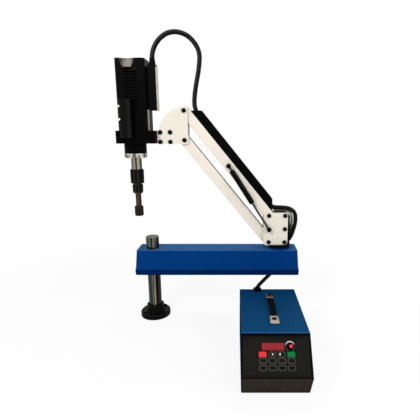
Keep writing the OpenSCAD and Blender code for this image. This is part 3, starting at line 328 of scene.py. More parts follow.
# A lighter copy of the grip's black for its right front facets: a painted highlight.
def grip_painted_highlight():
    return finish("grip moulding painted highlight", linear(25, 24, 21), 0.5, specular=0.05, mottle=(0.25, 30),
                  grain=(0.5, 1700))


def cover_black():
    return finish("cable cover black", linear(3, 4, 4), 0.5, specular=0.03, mottle=(0.25, 30),
                  grain=(0.25, 1500), edge=linear(26, 26, 26))


def plastic_black():
    return finish("black plastic", linear(4, 4, 4), 0.42, specular=0.04, mottle=(0.2, 30),
                  grain=(0.25, 2000), edge=linear(30, 30, 29))


def screw_black():
    return finish("blackened screws", linear(4, 4, 4), 0.36, specular=0.07, mottle=(0.2, 30),
                  grain=(0.1, 2500), edge=linear(30, 30, 30))


def rubber_black():
    return finish("cable rubber", linear(5, 6, 6), 0.34, specular=0.1, mottle=(0.2, 50), grain=(0.12, 1500))


def loop_rubber():
    return finish("head cable rubber", linear(4, 5, 5), 0.34, specular=0.06, mottle=(0.04, 30))


# A lighter copy of the cable rubber, for a painted highlight along a cable's front.
def sheen(name, tint):
    return finish(name, linear(*tint), 0.34, specular=0.06, mottle=(0.1, 60))


# Pale high up and darker lower down, on the black base cable's forward faces: a painted highlight fading into
# painted shade.
def painted_cable_highlight():
    return graded("base cable painted highlight", 2, [
        (300, 38, 38, 35), (322, 66, 65, 60), (338, 96, 93, 86), (356, 172, 166, 150), (380, 196, 190, 174),
        (440, 150, 144, 132),
    ], rough=0.4, specular=0.15, mottle=(0.12, 60))


# Painted reflections: bright and dark bands round the ring's axis.
def ring_steel():
    return drawn("bright ring steel", AXIS_X, [
        (0, 206, 192, 172), (1, 206, 192, 172), (0.11, 150, 142, 126), (0.29, 140, 132, 116),
        (0.315, 255, 254, 248), (0.385, 255, 252, 244), (0.41, 130, 122, 106), (0.435, 255, 254, 250),
        (0.48, 250, 246, 238), (0.5, 136, 133, 123), (0.58, 142, 138, 128), (0.605, 255, 254, 250),
        (0.66, 252, 248, 240), (0.68, 196, 184, 162), (0.7, 252, 250, 246), (0.8, 244, 240, 230),
        (0.82, 84, 78, 68), (0.86, 92, 84, 74), (0.88, 206, 192, 172),
    ], rough=0.25, wobble=0.006)


def flange_black():
    return finish("flange black", linear(9, 9, 8), 0.45, specular=0.05, mottle=(0.35, 40), grain=(0.4, 500),
                  edge=linear(34, 33, 31))


def chrome():
    return finish("chrome", linear(222, 220, 214), 0.14, metallic=1.0, mottle=(0.08, 30), grain=(0.06, 400))


def cap_metal():
    return finish("handle cap metal", linear(166, 156, 143), 0.3, metallic=0.8, mottle=(0.3, 160),
                  grain=(0.25, 600), edge=linear(216, 208, 194))


def strip_metal():
    return finish("pale strip metal", linear(192, 186, 174), 0.42, metallic=0.4, specular=0.2,
                  mottle=(0.14, 60), grain=(0.3, 300), stretch=(1, 1, 0.1))


def dark_metal():
    return finish("dark machined steel", linear(46, 46, 45), 0.38, metallic=0.6, specular=0.1,
                  mottle=(0.2, 30), grain=(0.3, 200), stretch=(1, 1, 10))


def bronze():
    return finish("bearing bronze", linear(128, 92, 48), 0.35, metallic=0.9, mottle=(0.2, 30),
                  grain=(0.25, 200), stretch=(1, 1, 8))


# A dark brown bush, seen as a dark ring round the post.
def dark_bush():
    return finish("dark bush", linear(30, 26, 20), 0.3, metallic=0.4, specular=0.1, mottle=(0.3, 30),
                  grain=(0.2, 300))


def case_metal():
    return finish("drive case metal", linear(96, 98, 100), 0.5, metallic=0.5, specular=0.2,
                  mottle=(0.15, 30), grain=(0.4, 500))


# Stands in for a colour that a ramp takes over
MIDDLE_GREY = (0.5, 0.5, 0.5)


def drawn(name, axis_x, stops, rough=0.22, metallic=1.0, specular=0.3, wobble=0.012):
    """Turned and ground metal: a colour ramp of painted reflections and painted shade round an upright axis,
    the same on every half turn, with lengthwise streaks.

    stops are (part of the half turn, red, green, blue), in the order that colour_ramp asks."""
    found = bpy.data.materials.get(name)
    if found:
        return found
    material = finish(name, MIDDLE_GREY, rough, metallic, specular, grain=(0.1, 160), stretch=(1, 1, 0.05))
    tree = material.node_tree
    centred = places(tree, Location=(-axis_x / 1000, 0, 0))
    around = wire(tree, "TexGradient", {"Vector": centred}, gradient_type="RADIAL").outputs["Fac"]
    waver = noise(tree, places(tree, Scale=(1, 1, 0.08)), 150, 2)
    half_turns = maths(tree, "MULTIPLY", maths(tree, "MULTIPLY_ADD", waver, wobble, around), 2)
    shade = colour_ramp(tree, stops, maths(tree, "FRACT", half_turns))
    streaks = mapped(tree, waver, 0.35, 0.65, 0.78, 1.12)
    deepened = wire(tree, "VectorMath", {0: shade, "Scale": streaks}, operation="SCALE")
    show(tree, Base_Color=deepened.outputs["Vector"])
    return material


def graded(name, axis, stops, rough=0.45, specular=0.05, mottle=(0.3, 70), grain=(0.2, 600), fold=None):
    """A finish whose colour changes along one axis, 0 to 2 for X to Z.

    stops are (millimetres, red, green, blue); with fold, millimetres count from that place to both sides."""
    found = bpy.data.materials.get(name)
    if found:
        return found
    material = finish(name, MIDDLE_GREY, rough, specular=specular, mottle=(0, 30), grain=grain)
    tree = material.node_tree
    along = wire(tree, "SeparateXYZ", {0: places(tree)}).outputs[axis]
    if fold is not None:
        along = maths(tree, "ABSOLUTE", maths(tree, "SUBTRACT", along, fold / 1000))
    low, high = stops[0][0], stops[-1][0]
    part = mapped(tree, along, low / 1000, high / 1000)
    uneven = maths(tree, "MULTIPLY_ADD", noise(tree, places(tree), mottle[1], 3), mottle[0], part)
    spots = [((at - low) / (high - low), *screen) for at, *screen in (stops[0], stops[-1], *stops[1:-1])]
    show(tree, Base_Color=colour_ramp(tree, spots, maths(tree, "SUBTRACT", uneven, mottle[0] / 2)))
    return material


# Painted reflections and shade round the post below the beam.
def post_steel():
    return drawn("ground post steel", 0, [
        (0, 20, 16, 14), (1, 20, 16, 14), (0.2, 8, 12, 9), (0.27, 34, 52, 42), (0.4, 50, 68, 60),
        (0.47, 62, 76, 70), (0.49, 128, 120, 104), (0.515, 112, 102, 88), (0.53, 40, 30, 24),
        (0.56, 60, 52, 44), (0.585, 160, 150, 132), (0.62, 156, 146, 128), (0.645, 34, 34, 28),
        (0.73, 20, 22, 24), (0.82, 64, 60, 53), (0.9, 34, 30, 26),
    ], wobble=0.02)


# Other painted reflections round the post above the beam.
def post_end_steel():
    return drawn("post above the beam", 0, [
        (0, 40, 34, 30), (1, 20, 28, 52), (0.27, 46, 40, 35), (0.31, 74, 98, 92), (0.47, 80, 102, 95),
        (0.515, 34, 40, 34), (0.585, 38, 42, 36), (0.605, 142, 128, 112), (0.65, 130, 118, 104),
        (0.675, 92, 96, 88), (0.72, 142, 134, 118), (0.78, 96, 98, 92), (0.81, 42, 62, 84),
        (0.93, 46, 68, 86),
    ], wobble=0.02)


def post_face_steel():
    return finish("turned post face", linear(106, 100, 90), 0.45, specular=0.05, mottle=(0.4, 90),
                  grain=(0.3, 500))


# Painted reflections round the spindle.
def spindle_steel():
    return drawn("polished spindle steel", AXIS_X, [
        (0, 46, 34, 28), (1, 46, 34, 28), (0.2, 50, 40, 34), (0.3, 118, 110, 98), (0.36, 190, 181, 166),
        (0.5, 180, 171, 155), (0.54, 40, 32, 28), (0.59, 34, 28, 25), (0.625, 192, 185, 171),
        (0.78, 200, 192, 178), (0.84, 78, 56, 44), (0.94, 52, 36, 28),
    ])


# Painted reflections round the tap holder.
def holder_steel():
    return drawn("tap holder steel", AXIS_X, [
        (0, 26, 20, 17), (1, 26, 20, 17), (0.26, 22, 17, 15), (0.36, 88, 79, 69), (0.46, 92, 84, 74),
        (0.51, 56, 43, 36), (0.6, 98, 83, 70), (0.7, 74, 55, 45), (0.82, 28, 22, 20),
    ], rough=0.3)


# Painted highlights: two light lines round the black chuck.
def chuck_black():
    return drawn("blackened chuck", AXIS_X, [
        (0, 9, 9, 8), (1, 9, 9, 8), (0.4, 12, 12, 11), (0.45, 44, 42, 39), (0.49, 13, 13, 12),
        (0.6, 13, 13, 12), (0.64, 48, 46, 42), (0.68, 13, 13, 12),
    ], rough=0.36, metallic=0.0, specular=0.06, wobble=0.02)


# Painted highlights round the black socket.
def socket_black():
    return drawn("blackened socket", AXIS_X, [
        (0, 10, 10, 9), (1, 10, 10, 9), (0.34, 12, 12, 11), (0.42, 40, 38, 34), (0.6, 30, 29, 26),
        (0.68, 20, 19, 17), (0.74, 64, 51, 42), (0.82, 16, 15, 14),
    ], rough=0.36, metallic=0.0, specular=0.06, wobble=0.02)


# ---- Making pieces ----


def point(values):
    """A point in metres from one in millimetres."""
    return Vector(values) / 1000


def linked(name, mesh, materials, smooth):
    """Links an object for a mesh, shaded smooth but for the edges that are sharper than an angle."""
    for material in materials:
        mesh.materials.append(material)
    mesh.polygons.foreach_set("use_smooth", [True] * len(mesh.polygons))
    mesh.set_sharp_from_angle(angle=math.radians(smooth))
    made = bpy.data.objects.new(name, mesh)
    bpy.context.scene.collection.objects.link(made)
    return made


def piece(name, bm, materials, node=None, body=None, smooth=30):
    """Turns a bmesh into a finished piece that stands for a CAD node or only rides on a body."""
    mesh = bpy.data.meshes.new(name)
    bm.to_mesh(mesh)
    bm.free()
    made = linked(name, mesh, materials, smooth)
    made.modifiers.new("Even shading", "WEIGHTED_NORMAL").keep_sharp = True
    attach(made, body or BODY[node])
    if node:
        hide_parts(node)


def merged(node):
    """A copy of a CAD node's mesh with its loose triangles joined into whole faces."""
    bm = bmesh.new()
    bm.from_mesh(frame["nodes"][node].data)
    bmesh.ops.remove_doubles(bm, verts=bm.verts, dist=4e-6)
    bmesh.ops.dissolve_limit(bm, angle_limit=math.radians(0.4), use_dissolve_boundaries=False, verts=bm.verts,
                             edges=bm.edges)
    return bm


def break_edges(bm, width, angle=32, segments=2):
    """Rounds the outward edges of a bmesh that are sharper than an angle."""
    picked = [e for e in bm.edges if len(e.link_faces) == 2 and e.is_convex
              and e.calc_face_angle(0) > math.radians(angle)
              and min(f.calc_area() for f in e.link_faces) > width * width
              and e.calc_length() > width * 0.4]
    bmesh.ops.bevel(bm, geom=picked, offset=width, offset_type="OFFSET", segments=segments, profile=0.5,
                    affect="EDGES", clamp_overlap=True, material=-1)


def shade(bm, material_of):
    """Gives each face the number of its material, from its middle and its normal."""
    for f in bm.faces:
        f.material_index = material_of(f.calc_center_median(), f.normal)


def cut(bm, height):
    """Splits the faces of a bmesh at a height, so that each side can have its own material."""
    bmesh.ops.bisect_plane(bm, geom=bm.verts[:] + bm.edges[:] + bm.faces[:], plane_co=(0, 0, height),
                           plane_no=(0, 0, 1))


def dressed(node, material, width=None, angle=32):
    """A CAD node's shape with broken edges and a real finish."""
    bm = merged(node)
    if width:
        break_edges(bm, width, angle)
    piece(node + "_finished", bm, [material], node, smooth=32)


def painted(node, material):
    """A CAD node that stays as it is gets its real finish."""
    node_object = frame["nodes"][node]
    node_object.data.materials.clear()
    node_object.data.materials.append(material)


def turned(bm, profile, steps=64):
    """Spins a profile of (radius, height) in millimetres round +Z, closed at the axis."""
    verts = [bm.verts.new((r / 1000, 0, z / 1000)) for r, z in profile]
    edges = [bm.edges.new(pair) for pair in zip(verts, verts[1:])]
    bmesh.ops.spin(bm, geom=verts + edges, cent=(0, 0, 0), axis=(0, 0, 1), dvec=(0, 0, 0),
                   angle=2 * math.pi, steps=steps, use_merge=True, use_duplicate=False)
    bmesh.ops.remove_doubles(bm, verts=bm.verts, dist=1e-6)


def add_to(bm, own, matrix=None):
    """Moves one bmesh's faces into another, with their normals made to point outwards."""
    bmesh.ops.recalc_face_normals(own, faces=own.faces)
    if matrix:
        bmesh.ops.transform(own, matrix=matrix, verts=own.verts)
    holder = bpy.data.meshes.new("holder")
    own.to_mesh(holder)
    own.free()
    bm.from_mesh(holder)
    bpy.data.meshes.remove(holder)


def tile(bm, x0, y0, x1, y1, foot, height, corner=0.0, material=0, rim=0.0, crown=0.0, crown_material=0):
    """Adds a flat tile with rounded corners, in millimetres, and on it a raised field inside a rim."""
    own = bmesh.new()
    bmesh.ops.create_grid(own, x_segments=1, y_segments=1, size=0.5)
    spot = point(((x0 + x1) / 2, (y0 + y1) / 2, foot + height))
    grow = Matrix.Diagonal(((x1 - x0) / 1000, (y1 - y0) / 1000, 1, 1))
    bmesh.ops.transform(own, verts=own.verts, matrix=Matrix.Translation(spot) @ grow)
    if corner:
        bmesh.ops.bevel(own, geom=own.verts[:], offset=corner / 1000, offset_type="OFFSET", segments=5,
                        profile=0.5, affect="VERTICES", clamp_overlap=True, material=-1)
    top = own.faces[:]
    walls = bmesh.ops.extrude_face_region(own, geom=top, use_keep_orig=True)
    bmesh.ops.translate(own, verts=[v for v in walls["geom"] if isinstance(v, bmesh.types.BMVert)],
                        vec=(0, 0, -height / 1000))
    for f in own.faces:
        f.material_index = material
    if rim:
        bmesh.ops.inset_region(own, faces=top, thickness=rim / 1000, use_even_offset=True)
        for f in top:
            f.material_index = crown_material
        bmesh.ops.translate(own, verts=list({v for f in top for v in f.verts}), vec=(0, 0, crown / 1000))
    add_to(bm, own)


def place(bm, matrix):
    """Moves a bmesh and makes its normals point outwards."""
    bmesh.ops.transform(bm, matrix=matrix, verts=bm.verts)
    bmesh.ops.recalc_face_normals(bm, faces=bm.faces)
    return bm


def through(points, steps=6):
    """A smooth line through the points, with a few points more between each two."""
    pts = [point(p) for p in points]
    ends = [2 * pts[0] - pts[1], *pts, 2 * pts[-1] - pts[-2]]
    line = []
    for a, b, c, d in zip(ends, ends[1:], ends[2:], ends[3:]):
        for i in range(steps):
            t = i / steps
            line.append(0.5 * (2 * b + (c - a) * t + (2 * a - 5 * b + 4 * c - d) * t * t
                               + (3 * b - a - 3 * c + d) * t ** 3))
    return [*line, pts[-1]]


def tube(name, line, diameter, material):
    """A round tube of mesh along a line."""
    curve = bpy.data.curves.new(name, "CURVE")
    curve.dimensions = "3D"
    spline = curve.splines.new("POLY")
    spline.points.add(len(line) - 1)
    for p, co in zip(spline.points, line):
        p.co = (*co, 1)
    curve.bevel_depth = diameter / 2
    curve.bevel_resolution = sizes().cable_sides // 4 - 2
    curve.use_fill_caps = True
    holder = bpy.data.objects.new(name + "_line", curve)
    bpy.context.scene.collection.objects.link(holder)
    bpy.context.view_layer.update()
    mesh = bpy.data.meshes.new_from_object(holder.evaluated_get(bpy.context.evaluated_depsgraph_get()))
    bpy.data.objects.remove(holder)
    mesh.name = name
    mesh.materials.clear()
    return linked(name, mesh, [material], 60)


def cable(name, node, route, diameter, material, painted_highlights=()):
    """A cable as a round tube along a smooth line through its route, in place of a CAD node.

    Each band is a lighter material, painted as a highlight on the faces that look forward by more than its
    share."""
    line = through(route)
    made = tube(name, line, diameter / 1000, material)
    for share, own in painted_highlights:
        made.data.materials.append(own)
        for face in made.data.polygons:
            if -face.normal.y > share:
                face.material_index = len(made.data.materials) - 1
    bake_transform(made)
    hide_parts(node)


# ---- Operators ----


class TAPPING_OT_stage(bpy.types.Operator):
    """Sets up the camera, the lamps, the white surroundings and the floor"""

    bl_idname = "tapping.stage"
    bl_label = "Stage"

    def execute(self, context):
        scene = context.scene
        studio = scene.tapping_studio
        scene.view_settings.view_transform = "Standard"
        camera = bpy.data.objects.new("Camera", bpy.data.cameras.new("Camera"))
        scene.collection.objects.link(camera)
        camera.location = (0.322257, -1.35628, 0.726629)
        camera.rotation_euler = (math.radians(77.705), 0, 0)
        camera.data.lens = 31.102
        camera.data.sensor_width = 36
        camera.data.shift_x = -0.06004
        camera.data.clip_end = 100
        scene.camera = camera
        for name, power, size, spot, aim in (
            ("Key lamp", studio.key, 0.7, (-0.9, -1.9, 2.0), (0.2, 0, 0.45)),
            ("Fill lamp", studio.fill, 0.8, (1.9, -1.3, 1.6), (0.3, 0, 0.3)),
            ("Top lamp", studio.top, 1.5, (0.3, 0.5, 2.4), (0.25, 0, 0.5)),
        ):
            lamp = bpy.data.lights.new(name, "AREA")
            lamp.energy = power
            lamp.size = size
            holder = bpy.data.objects.new(name, lamp)
            holder.location = spot
            holder.rotation_euler = (Vector(aim) - Vector(spot)).to_track_quat("-Z", "Y").to_euler()
            scene.collection.objects.link(holder)
        world = bpy.data.worlds.new("Studio")
        scene.world = world
        world.use_nodes = True
        tree = world.node_tree
        soft = tree.nodes["Background"]
        soft.inputs["Color"].default_value = (1, 1, 1, 1)
        soft.inputs["Strength"].default_value = studio.ambient
        white = wire(tree, "Background", {"Color": (1, 1, 1, 1), "Strength": 1})
        rays = wire(tree, "LightPath").outputs
        seen = maths(tree, "MAXIMUM", rays["Is Camera Ray"], rays["Is Glossy Ray"])
        seen = maths(tree, "MAXIMUM", seen, rays["Is Transmission Ray"])
        choose = wire(tree, "MixShader", {0: seen, 1: soft.outputs[0], 2: white.outputs[0]})
        tree.links.new(choose.outputs[0], tree.nodes["World Output"].inputs["Surface"])
        bm = bmesh.new()
        bmesh.ops.create_grid(bm, x_segments=1, y_segments=1, size=studio.floor)
        mesh = bpy.data.meshes.new("Floor")
        bm.to_mesh(mesh)
        bm.free()
        floor = bpy.data.objects.new("Floor", mesh)
        scene.collection.objects.link(floor)
        material = finish("floor", (0.86, 0.86, 0.86), 0.9, specular=0.0, mottle=(0.01, 30), grain=(0.05, 60))
        tree = material.node_tree
        shine = wire(tree, "Emission", {"Strength": 1})
        away = wire(tree, "VectorMath", {0: places(tree)}, operation="LENGTH").outputs["Value"]
        fade = mapped(tree, away, 0.55, 1.3, 0.86)
        part = maths(tree, "MULTIPLY", wire(tree, "LightPath").outputs["Is Camera Ray"], fade)
        lit = tree.nodes["Principled BSDF"]
        choose = wire(tree, "MixShader", {0: part, 1: lit.outputs[0], 2: shine.outputs[0]})
        tree.links.new(choose.outputs[0], tree.nodes["Material Output"].inputs["Surface"])
        mesh.materials.append(material)
        return {"FINISHED"}


class TAPPING_OT_cables(bpy.types.Operator):
    """Builds the head's cable, the two cables behind the base plates and the control box's cable"""

    bl_idname = "tapping.cables"
    bl_label = "Cables"

    def execute(self, context):
        rubber = rubber_black()
        # The head cable gets painted highlights on its forward faces.
        cable("head_cable", "head_loop", HEAD_LOOP, 17, loop_rubber(),
              painted_highlights=((0.8, sheen("head cable painted sheen rim", (18, 18, 16))),
                                                     (0.95, sheen("head cable painted sheen", (46, 45, 42)))))
        cable("base_cable_black", "base_cable_outer", BASE_OUTER, 16, rubber)
        # This black cable gets the painted highlight on its forward faces.
        cable("base_cable_painted_highlight", "base_cable_inner", BASE_INNER, 10, rubber,
              painted_highlights=((0.55, painted_cable_highlight()),))
        cable("control_cable_box", "control_cable_lower", CONTROL_LOWER, 14, rubber)
        cable("control_cable_beam", "control_cable_upper", CONTROL_UPPER, 14, rubber)
        return {"FINISHED"}


class TAPPING_OT_column(bpy.types.Operator):
    """Builds the flange, the ground post and the height collar"""

    bl_idname = "tapping.column"
    bl_label = "Column"

    def execute(self, context):
        dressed("column_flange", flange_black(), 0.0006)
        bm = merged("column_post")
        # Below and above the beam, the post gets different painted reflections.
        split, top = BEAM_TOP / 1000 - 0.004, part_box("column_post")[1][2] - 0.003
        cut(bm, split)
        shade(bm, lambda middle, normal: 2 if middle.z > top else int(middle.z > split))
        steels = [post_steel(), post_end_steel(), post_face_steel()]
        piece("column_post_ground", bm, steels, "column_post", smooth=32)
        dressed("height_collar", dark_metal(), 0.0005)
        painted("collar_screw", screw_black())
        painted("column_bushes", dark_bush())
        return {"FINISHED"}


class TAPPING_OT_beam(bpy.types.Operator):
    """Builds the enamelled cast beam with its rounded edges"""

    bl_idname = "tapping.beam"
    bl_label = "Beam"

    def execute(self, context):
        bm = merged("beam_casting")
        break_edges(bm, sizes().casting_edge, 25, 3)
        low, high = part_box("beam_casting")
        lip, top, half_lip = low[2] + 0.022, high[2] - 0.012, 0.04

        # Top faces get the painted reflection, and the lower lip's sides get the painted shade.
        def coat(middle, normal):
            if normal.z > 0.8 and middle.z > top:
                return 1
            return 2 if middle.z < lip and normal.z > -0.8 and abs(middle.y) > half_lip else 0

        shade(bm, coat)
        coats = [beam_enamel(), beam_top_painted_reflection(), beam_foot_painted_shade()]
        piece("beam_enamelled", bm, coats, "beam_casting", smooth=28)
        painted("swivel_bearing", bronze())
        return {"FINISHED"}


class TAPPING_OT_swivel(bpy.types.Operator):
    """Builds the turntable, its block, the grommet and the nut"""

    bl_idname = "tapping.swivel"
    bl_label = "Swivel base"

    def execute(self, context):
        dressed("swivel_base", head_black(), 0.0008)
        painted("pivot_grommet", rubber_black())
        dressed("pivot_nut", dark_metal(), 0.0005)
        return {"FINISHED"}


class TAPPING_OT_plates(bpy.types.Operator):
    """Builds the cream plates at both ends of the arm"""

    bl_idname = "tapping.plates"
    bl_label = "Plates"

    def execute(self, context):
        dressed("base_plates", cream_coat(), sizes().plate_edge)
        dressed("head_plates", cream_coat(), sizes().plate_edge)
        return {"FINISHED"}


def button_head(bm, x, y, z, side, shank, head_r=8, head_h=5.5):
    """Button-head screw with a hexagon socket, its head standing out from y towards the given side.

    shank is its outline from the far end to the head's underside."""
    own = bmesh.new()
    dome = head_h * 0.5
    profile = [(0, shank[0][1]), *shank, (shank[-1][0], 0), (head_r - 0.3, 0), (head_r, 0.3)]
    for i in range(6):
        a = math.radians(90 * i / 5)
        profile.append((head_r - dome * 1.25 * (1 - math.cos(a)), head_h - dome + dome * math.sin(a)))
    profile.append((3.6, head_h))
    turned(own, profile, 40)
    rim = [e for e in own.edges if e.is_boundary]
    hexagon = bmesh.ops.create_circle(own, cap_ends=False, segments=6, radius=sizes().socket,
                                      matrix=Matrix.Translation((0, 0, head_h / 1000)))
    corner = set(hexagon["verts"])
    sides = [e for e in own.edges if e.verts[0] in corner and e.verts[1] in corner]
    bmesh.ops.bridge_loops(own, edges=rim + sides)
    deep = bmesh.ops.extrude_edge_only(own, edges=sides)
    floor = {v for v in deep["geom"] if isinstance(v, bmesh.types.BMVert)}
    bmesh.ops.translate(own, verts=list(floor), vec=(0, 0, -0.0026))
    bmesh.ops.contextual_create(own, geom=[e for e in deep["geom"] if isinstance(e, bmesh.types.BMEdge)
                                           and floor.issuperset(e.verts)])
    add_to(bm, own, Matrix.Translation(point((x, y, z))) @ Matrix.Rotation(-side * math.pi / 2, 4, "X"))


def plate_screws(spots, shank):
    """Button heads on both sides of the arm's plates, at each (x, z)."""
    bm = bmesh.new()
    for x, z in spots:
        for side in (-1, 1):
            button_head(bm, x, side * PLATE_FACE, z, side, shank)
    return bm


class TAPPING_OT_screws(bpy.types.Operator):
    """Builds the button-head screws and the pivot pins of both pairs of plates"""

    bl_idname = "tapping.screws"
    bl_label = "Screws and pins"

    def execute(self, context):
        heights = (BASE_PIVOT[1], GAS_FOOT[1], BASE_PIVOT[1] - LINK_GAP)
        screw_x = 510.5
        bm = plate_screws([(screw_x, z) for z in heights], SCREW_SHANK)
        piece("base_screws_black", bm, [screw_black()], "base_screws")
        bm = plate_screws([(BASE_PIVOT[0], heights[0]), (BASE_PIVOT[0], heights[2])], PIN_SHANK)
        button_head(bm, BASE_PIVOT[0], GAS_SCREW_Y, GAS_FOOT[1], -1, [(4, -18.3)])
        piece("base_pins_black", bm, [screw_black()], "base_pins")
        spots = [(AXIS_X + 98 + 35.5 * i, CLAMP_Z + 5 + 34.3 * j) for i in range(2) for j in range(2)]
        piece("head_screws_black", plate_screws(spots, SCREW_SHANK), [screw_black()], "head_screws")
        spots = [(HEAD_PIVOT[0], HEAD_PIVOT[1]), (HEAD_PIVOT[0], HEAD_PIVOT[1] - LINK_GAP)]
        piece("head_pins_black", plate_screws(spots, PIN_SHANK), [screw_black()], "head_pins")
        return {"FINISHED"}


class TAPPING_OT_links(bpy.types.Operator):
    """Builds the two cream links, their bushes and the cable cover"""

    bl_idname = "tapping.links"
    bl_label = "Links"

    def execute(self, context):
        dressed("upper_link", cream_coat(), 0.0004, 25)
        bm = merged("lower_link")
        up = Vector((math.sin(ARM_ANGLE), 0, math.cos(ARM_ANGLE)))
        backs = [f for f in bm.faces if f.normal.dot(up) > 0.9 and f.calc_area() > 0.004]
        bmesh.ops.inset_region(bm, faces=backs, thickness=0.002, use_even_offset=True)
        for f in backs:
            f.material_index = 1
        shadow = finish("link channel shadow", linear(62, 54, 46), 0.7, specular=0.0, mottle=(0.4, 60))
        piece("lower_link_cream", bm, [cream_coat(), shadow], "lower_link", smooth=25)
        painted("upper_bushes", bronze())
        painted("lower_bushes", bronze())
        dressed("cable_cover", cover_black(), 0.0009)
        return {"FINISHED"}


class TAPPING_OT_gas_spring(bpy.types.Operator):
    """Builds the gas spring: its stud, its dark end fitting, the black cylinder and the rod"""

    bl_idname = "tapping.gas_spring"
    bl_label = "Gas spring"

    def execute(self, context):
        span = Vector((GAS_FOOT[0] - GAS_STUD[0], 0, GAS_FOOT[1] - GAS_STUD[1]))
        along = Matrix.Translation(point((GAS_STUD[0], -33, GAS_STUD[1])))
        along = along @ span.to_track_quat("Z", "Y").to_matrix().to_4x4()
        bm = bmesh.new()
        turned(bm, [(0, 19), (5, 19), (6.5, 20), (8.6, 21), (9.7, 22.4), (10, 24), (10, 161), (9.7, 162.4),
                    (8.4, 163), (6.9, 163), (6.9, 40), (0, 40)], 48)
        paint = finish("gas cylinder paint", linear(2, 2, 3), 0.3, specular=0.06, mottle=(0.1, 30),
                       grain=(0.03, 900))
        piece("gas_cylinder_black", place(bm, along), [paint], "gas_cylinder")
        bm = bmesh.new()
        turned(bm, [(0, 6), (4.4, 6), (4.4, 18.8), (0, 18.8)], 24)
        eye = bmesh.new()
        turned(eye, [(4.2, -4.8), (7.8, -4.8), (9, -3.6), (9, 3.6), (7.8, 4.8), (4.2, 4.8), (4.2, -4.8)], 40)
        bmesh.ops.rotate(eye, verts=eye.verts, cent=(0, 0, 0), matrix=Matrix.Rotation(math.pi / 2, 3, "Y"))
        add_to(bm, eye)
        steel = finish("end fitting steel", linear(50, 60, 55), 0.4, specular=0.1, mottle=(0.2, 30))
        piece("gas_end_fitting", place(bm, along), [steel], body="spring_cylinder")
        steel = finish("gas rod", linear(70, 70, 72), 0.16, 1.0, mottle=(0.1, 30), grain=(0.05, 900))
        dressed("gas_rod", steel)
        bm = bmesh.new()
        shank = [(4, -30.3), (4, -20.3), (7.2, -20.3), (7.5, -20), (7.5, -10.9), (7.2, -10.6), (4, -10.6)]
        button_head(bm, GAS_STUD[0], GAS_SCREW_Y, GAS_STUD[1], -1, shank, 7, 3)
        piece("gas_stud_black", bm, [screw_black()], "gas_stud")
        return {"FINISHED"}


class TAPPING_OT_motor(bpy.types.Operator):
    """Builds the motor's housing, the clamp, the gearbox neck and the bright ring"""

    bl_idname = "tapping.motor"
    bl_label = "Motor head"

    def execute(self, context):
        bm = merged("motor_housing")
        break_edges(bm, 0.0006, 40)
        # The scoop's faces are pale in the middle and darker to the sides: a painted reflection.
        scoop = graded("scoop painted reflection", 0, [(0, 140, 133, 120), (9, 134, 127, 115), (15, 102, 98, 89),
                                          (21, 64, 62, 57), (28, 28, 27, 25)],
                       mottle=(0.5, 120), fold=AXIS_X + 1)
        scoop_x, scoop_foot, half_scoop = (AXIS_X - 2) / 1000, (CLAMP_Z + 256) / 1000, 0.032
        front, floor = -0.0495, -0.035

        def coat(middle, normal):
            inside = abs(middle.x - scoop_x) < half_scoop and front < middle.y < floor
            return int(inside and middle.z > scoop_foot and normal.y < -0.3 and abs(normal.x) < 0.8)

        shade(bm, coat)
        piece("motor_housing_black", bm, [head_black(), scoop], "motor_housing")
        dressed("motor_clamp", head_black(), 0.0008)
        dressed("gearbox_neck", head_black(), 0.0006)
        bm = merged("castle_ring")
        break_edges(bm, 0.0004)
        # The slots' faces are greyer than the bright bands: painted shade in the slots.
        axis, slot_floor = point((AXIS_X, 0, 0)), 0.0395
        shade(bm, lambda middle, normal: int((middle - axis).xy.length < slot_floor and abs(normal.z) < 0.5))
        slot = finish("ring slot painted shade", linear(128, 122, 108), 0.4, mottle=(0.2, 30))
        piece("castle_ring_bright", bm, [ring_steel(), slot], "castle_ring")
        bm = merged("spacer_bar")
        break_edges(bm, 0.0004)
        # Above this height the pale bar is painted black: painted shade beside the housing.
        painted_shade_from = (CLAMP_Z + 117) / 1000
        cut(bm, painted_shade_from)
        shade(bm, lambda middle, normal: int(middle.z > painted_shade_from))
        piece("spacer_bar_pale", bm, [strip_metal(), head_black()], "spacer_bar")
        dressed("back_plate", head_black(), 0.0006)
        painted("servo_motor", plastic_black())
        return {"FINISHED"}


class TAPPING_OT_terminal_box(bpy.types.Operator):
    """Builds the terminal box, its pale lid and the cable's gland"""

    bl_idname = "tapping.terminal_box"
    bl_label = "Terminal box"

    def execute(self, context):
        dressed("terminal_box", plastic_black(), 0.0006)
        dressed("terminal_lid", strip_metal(), 0.0008)
        bm = bmesh.new()
        profile = [(0, 0), (11.3, 0), (11.3, 5.5), (10.6, 6.5)]
        for i in range(5):
            z, rib, groove = 7 + i * 3, 10.4 - 0.25 * i, 9.7 - 0.2 * i
            profile += [(rib, z), (rib, z + 1.8), (groove, z + 2.1), (groove, z + 2.9)]
        profile += [(8.8, 23), (8.6, 23.4), (8.6, 4), (0, 4)]
        turned(bm, profile, 40)
        place(bm, Matrix.Translation(point((GLAND_X, TERMINAL_Y, CLAMP_Z + 268))))
        piece("head_gland_black", bm, [plastic_black()], "head_gland")
        return {"FINISHED"}


class TAPPING_OT_grip(bpy.types.Operator):
    """Builds the moulded grip and its two bright push buttons"""

    bl_idname = "tapping.grip"
    bl_label = "Grip"

    def execute(self, context):
        bm = merged("grip")
        break_edges(bm, 0.0008, 40)
        # The right front facets get the painted highlight.
        shade(bm, lambda middle, normal: int(0.3 < normal.x < 0.9 and normal.y < -0.3))
        piece("grip_moulding", bm, [grip_black(), grip_painted_highlight()], "grip", smooth=14)
        dressed("grip_button_up", chrome(), 0.0004)
        dressed("grip_button_down", chrome(), 0.0004)
        return {"FINISHED"}


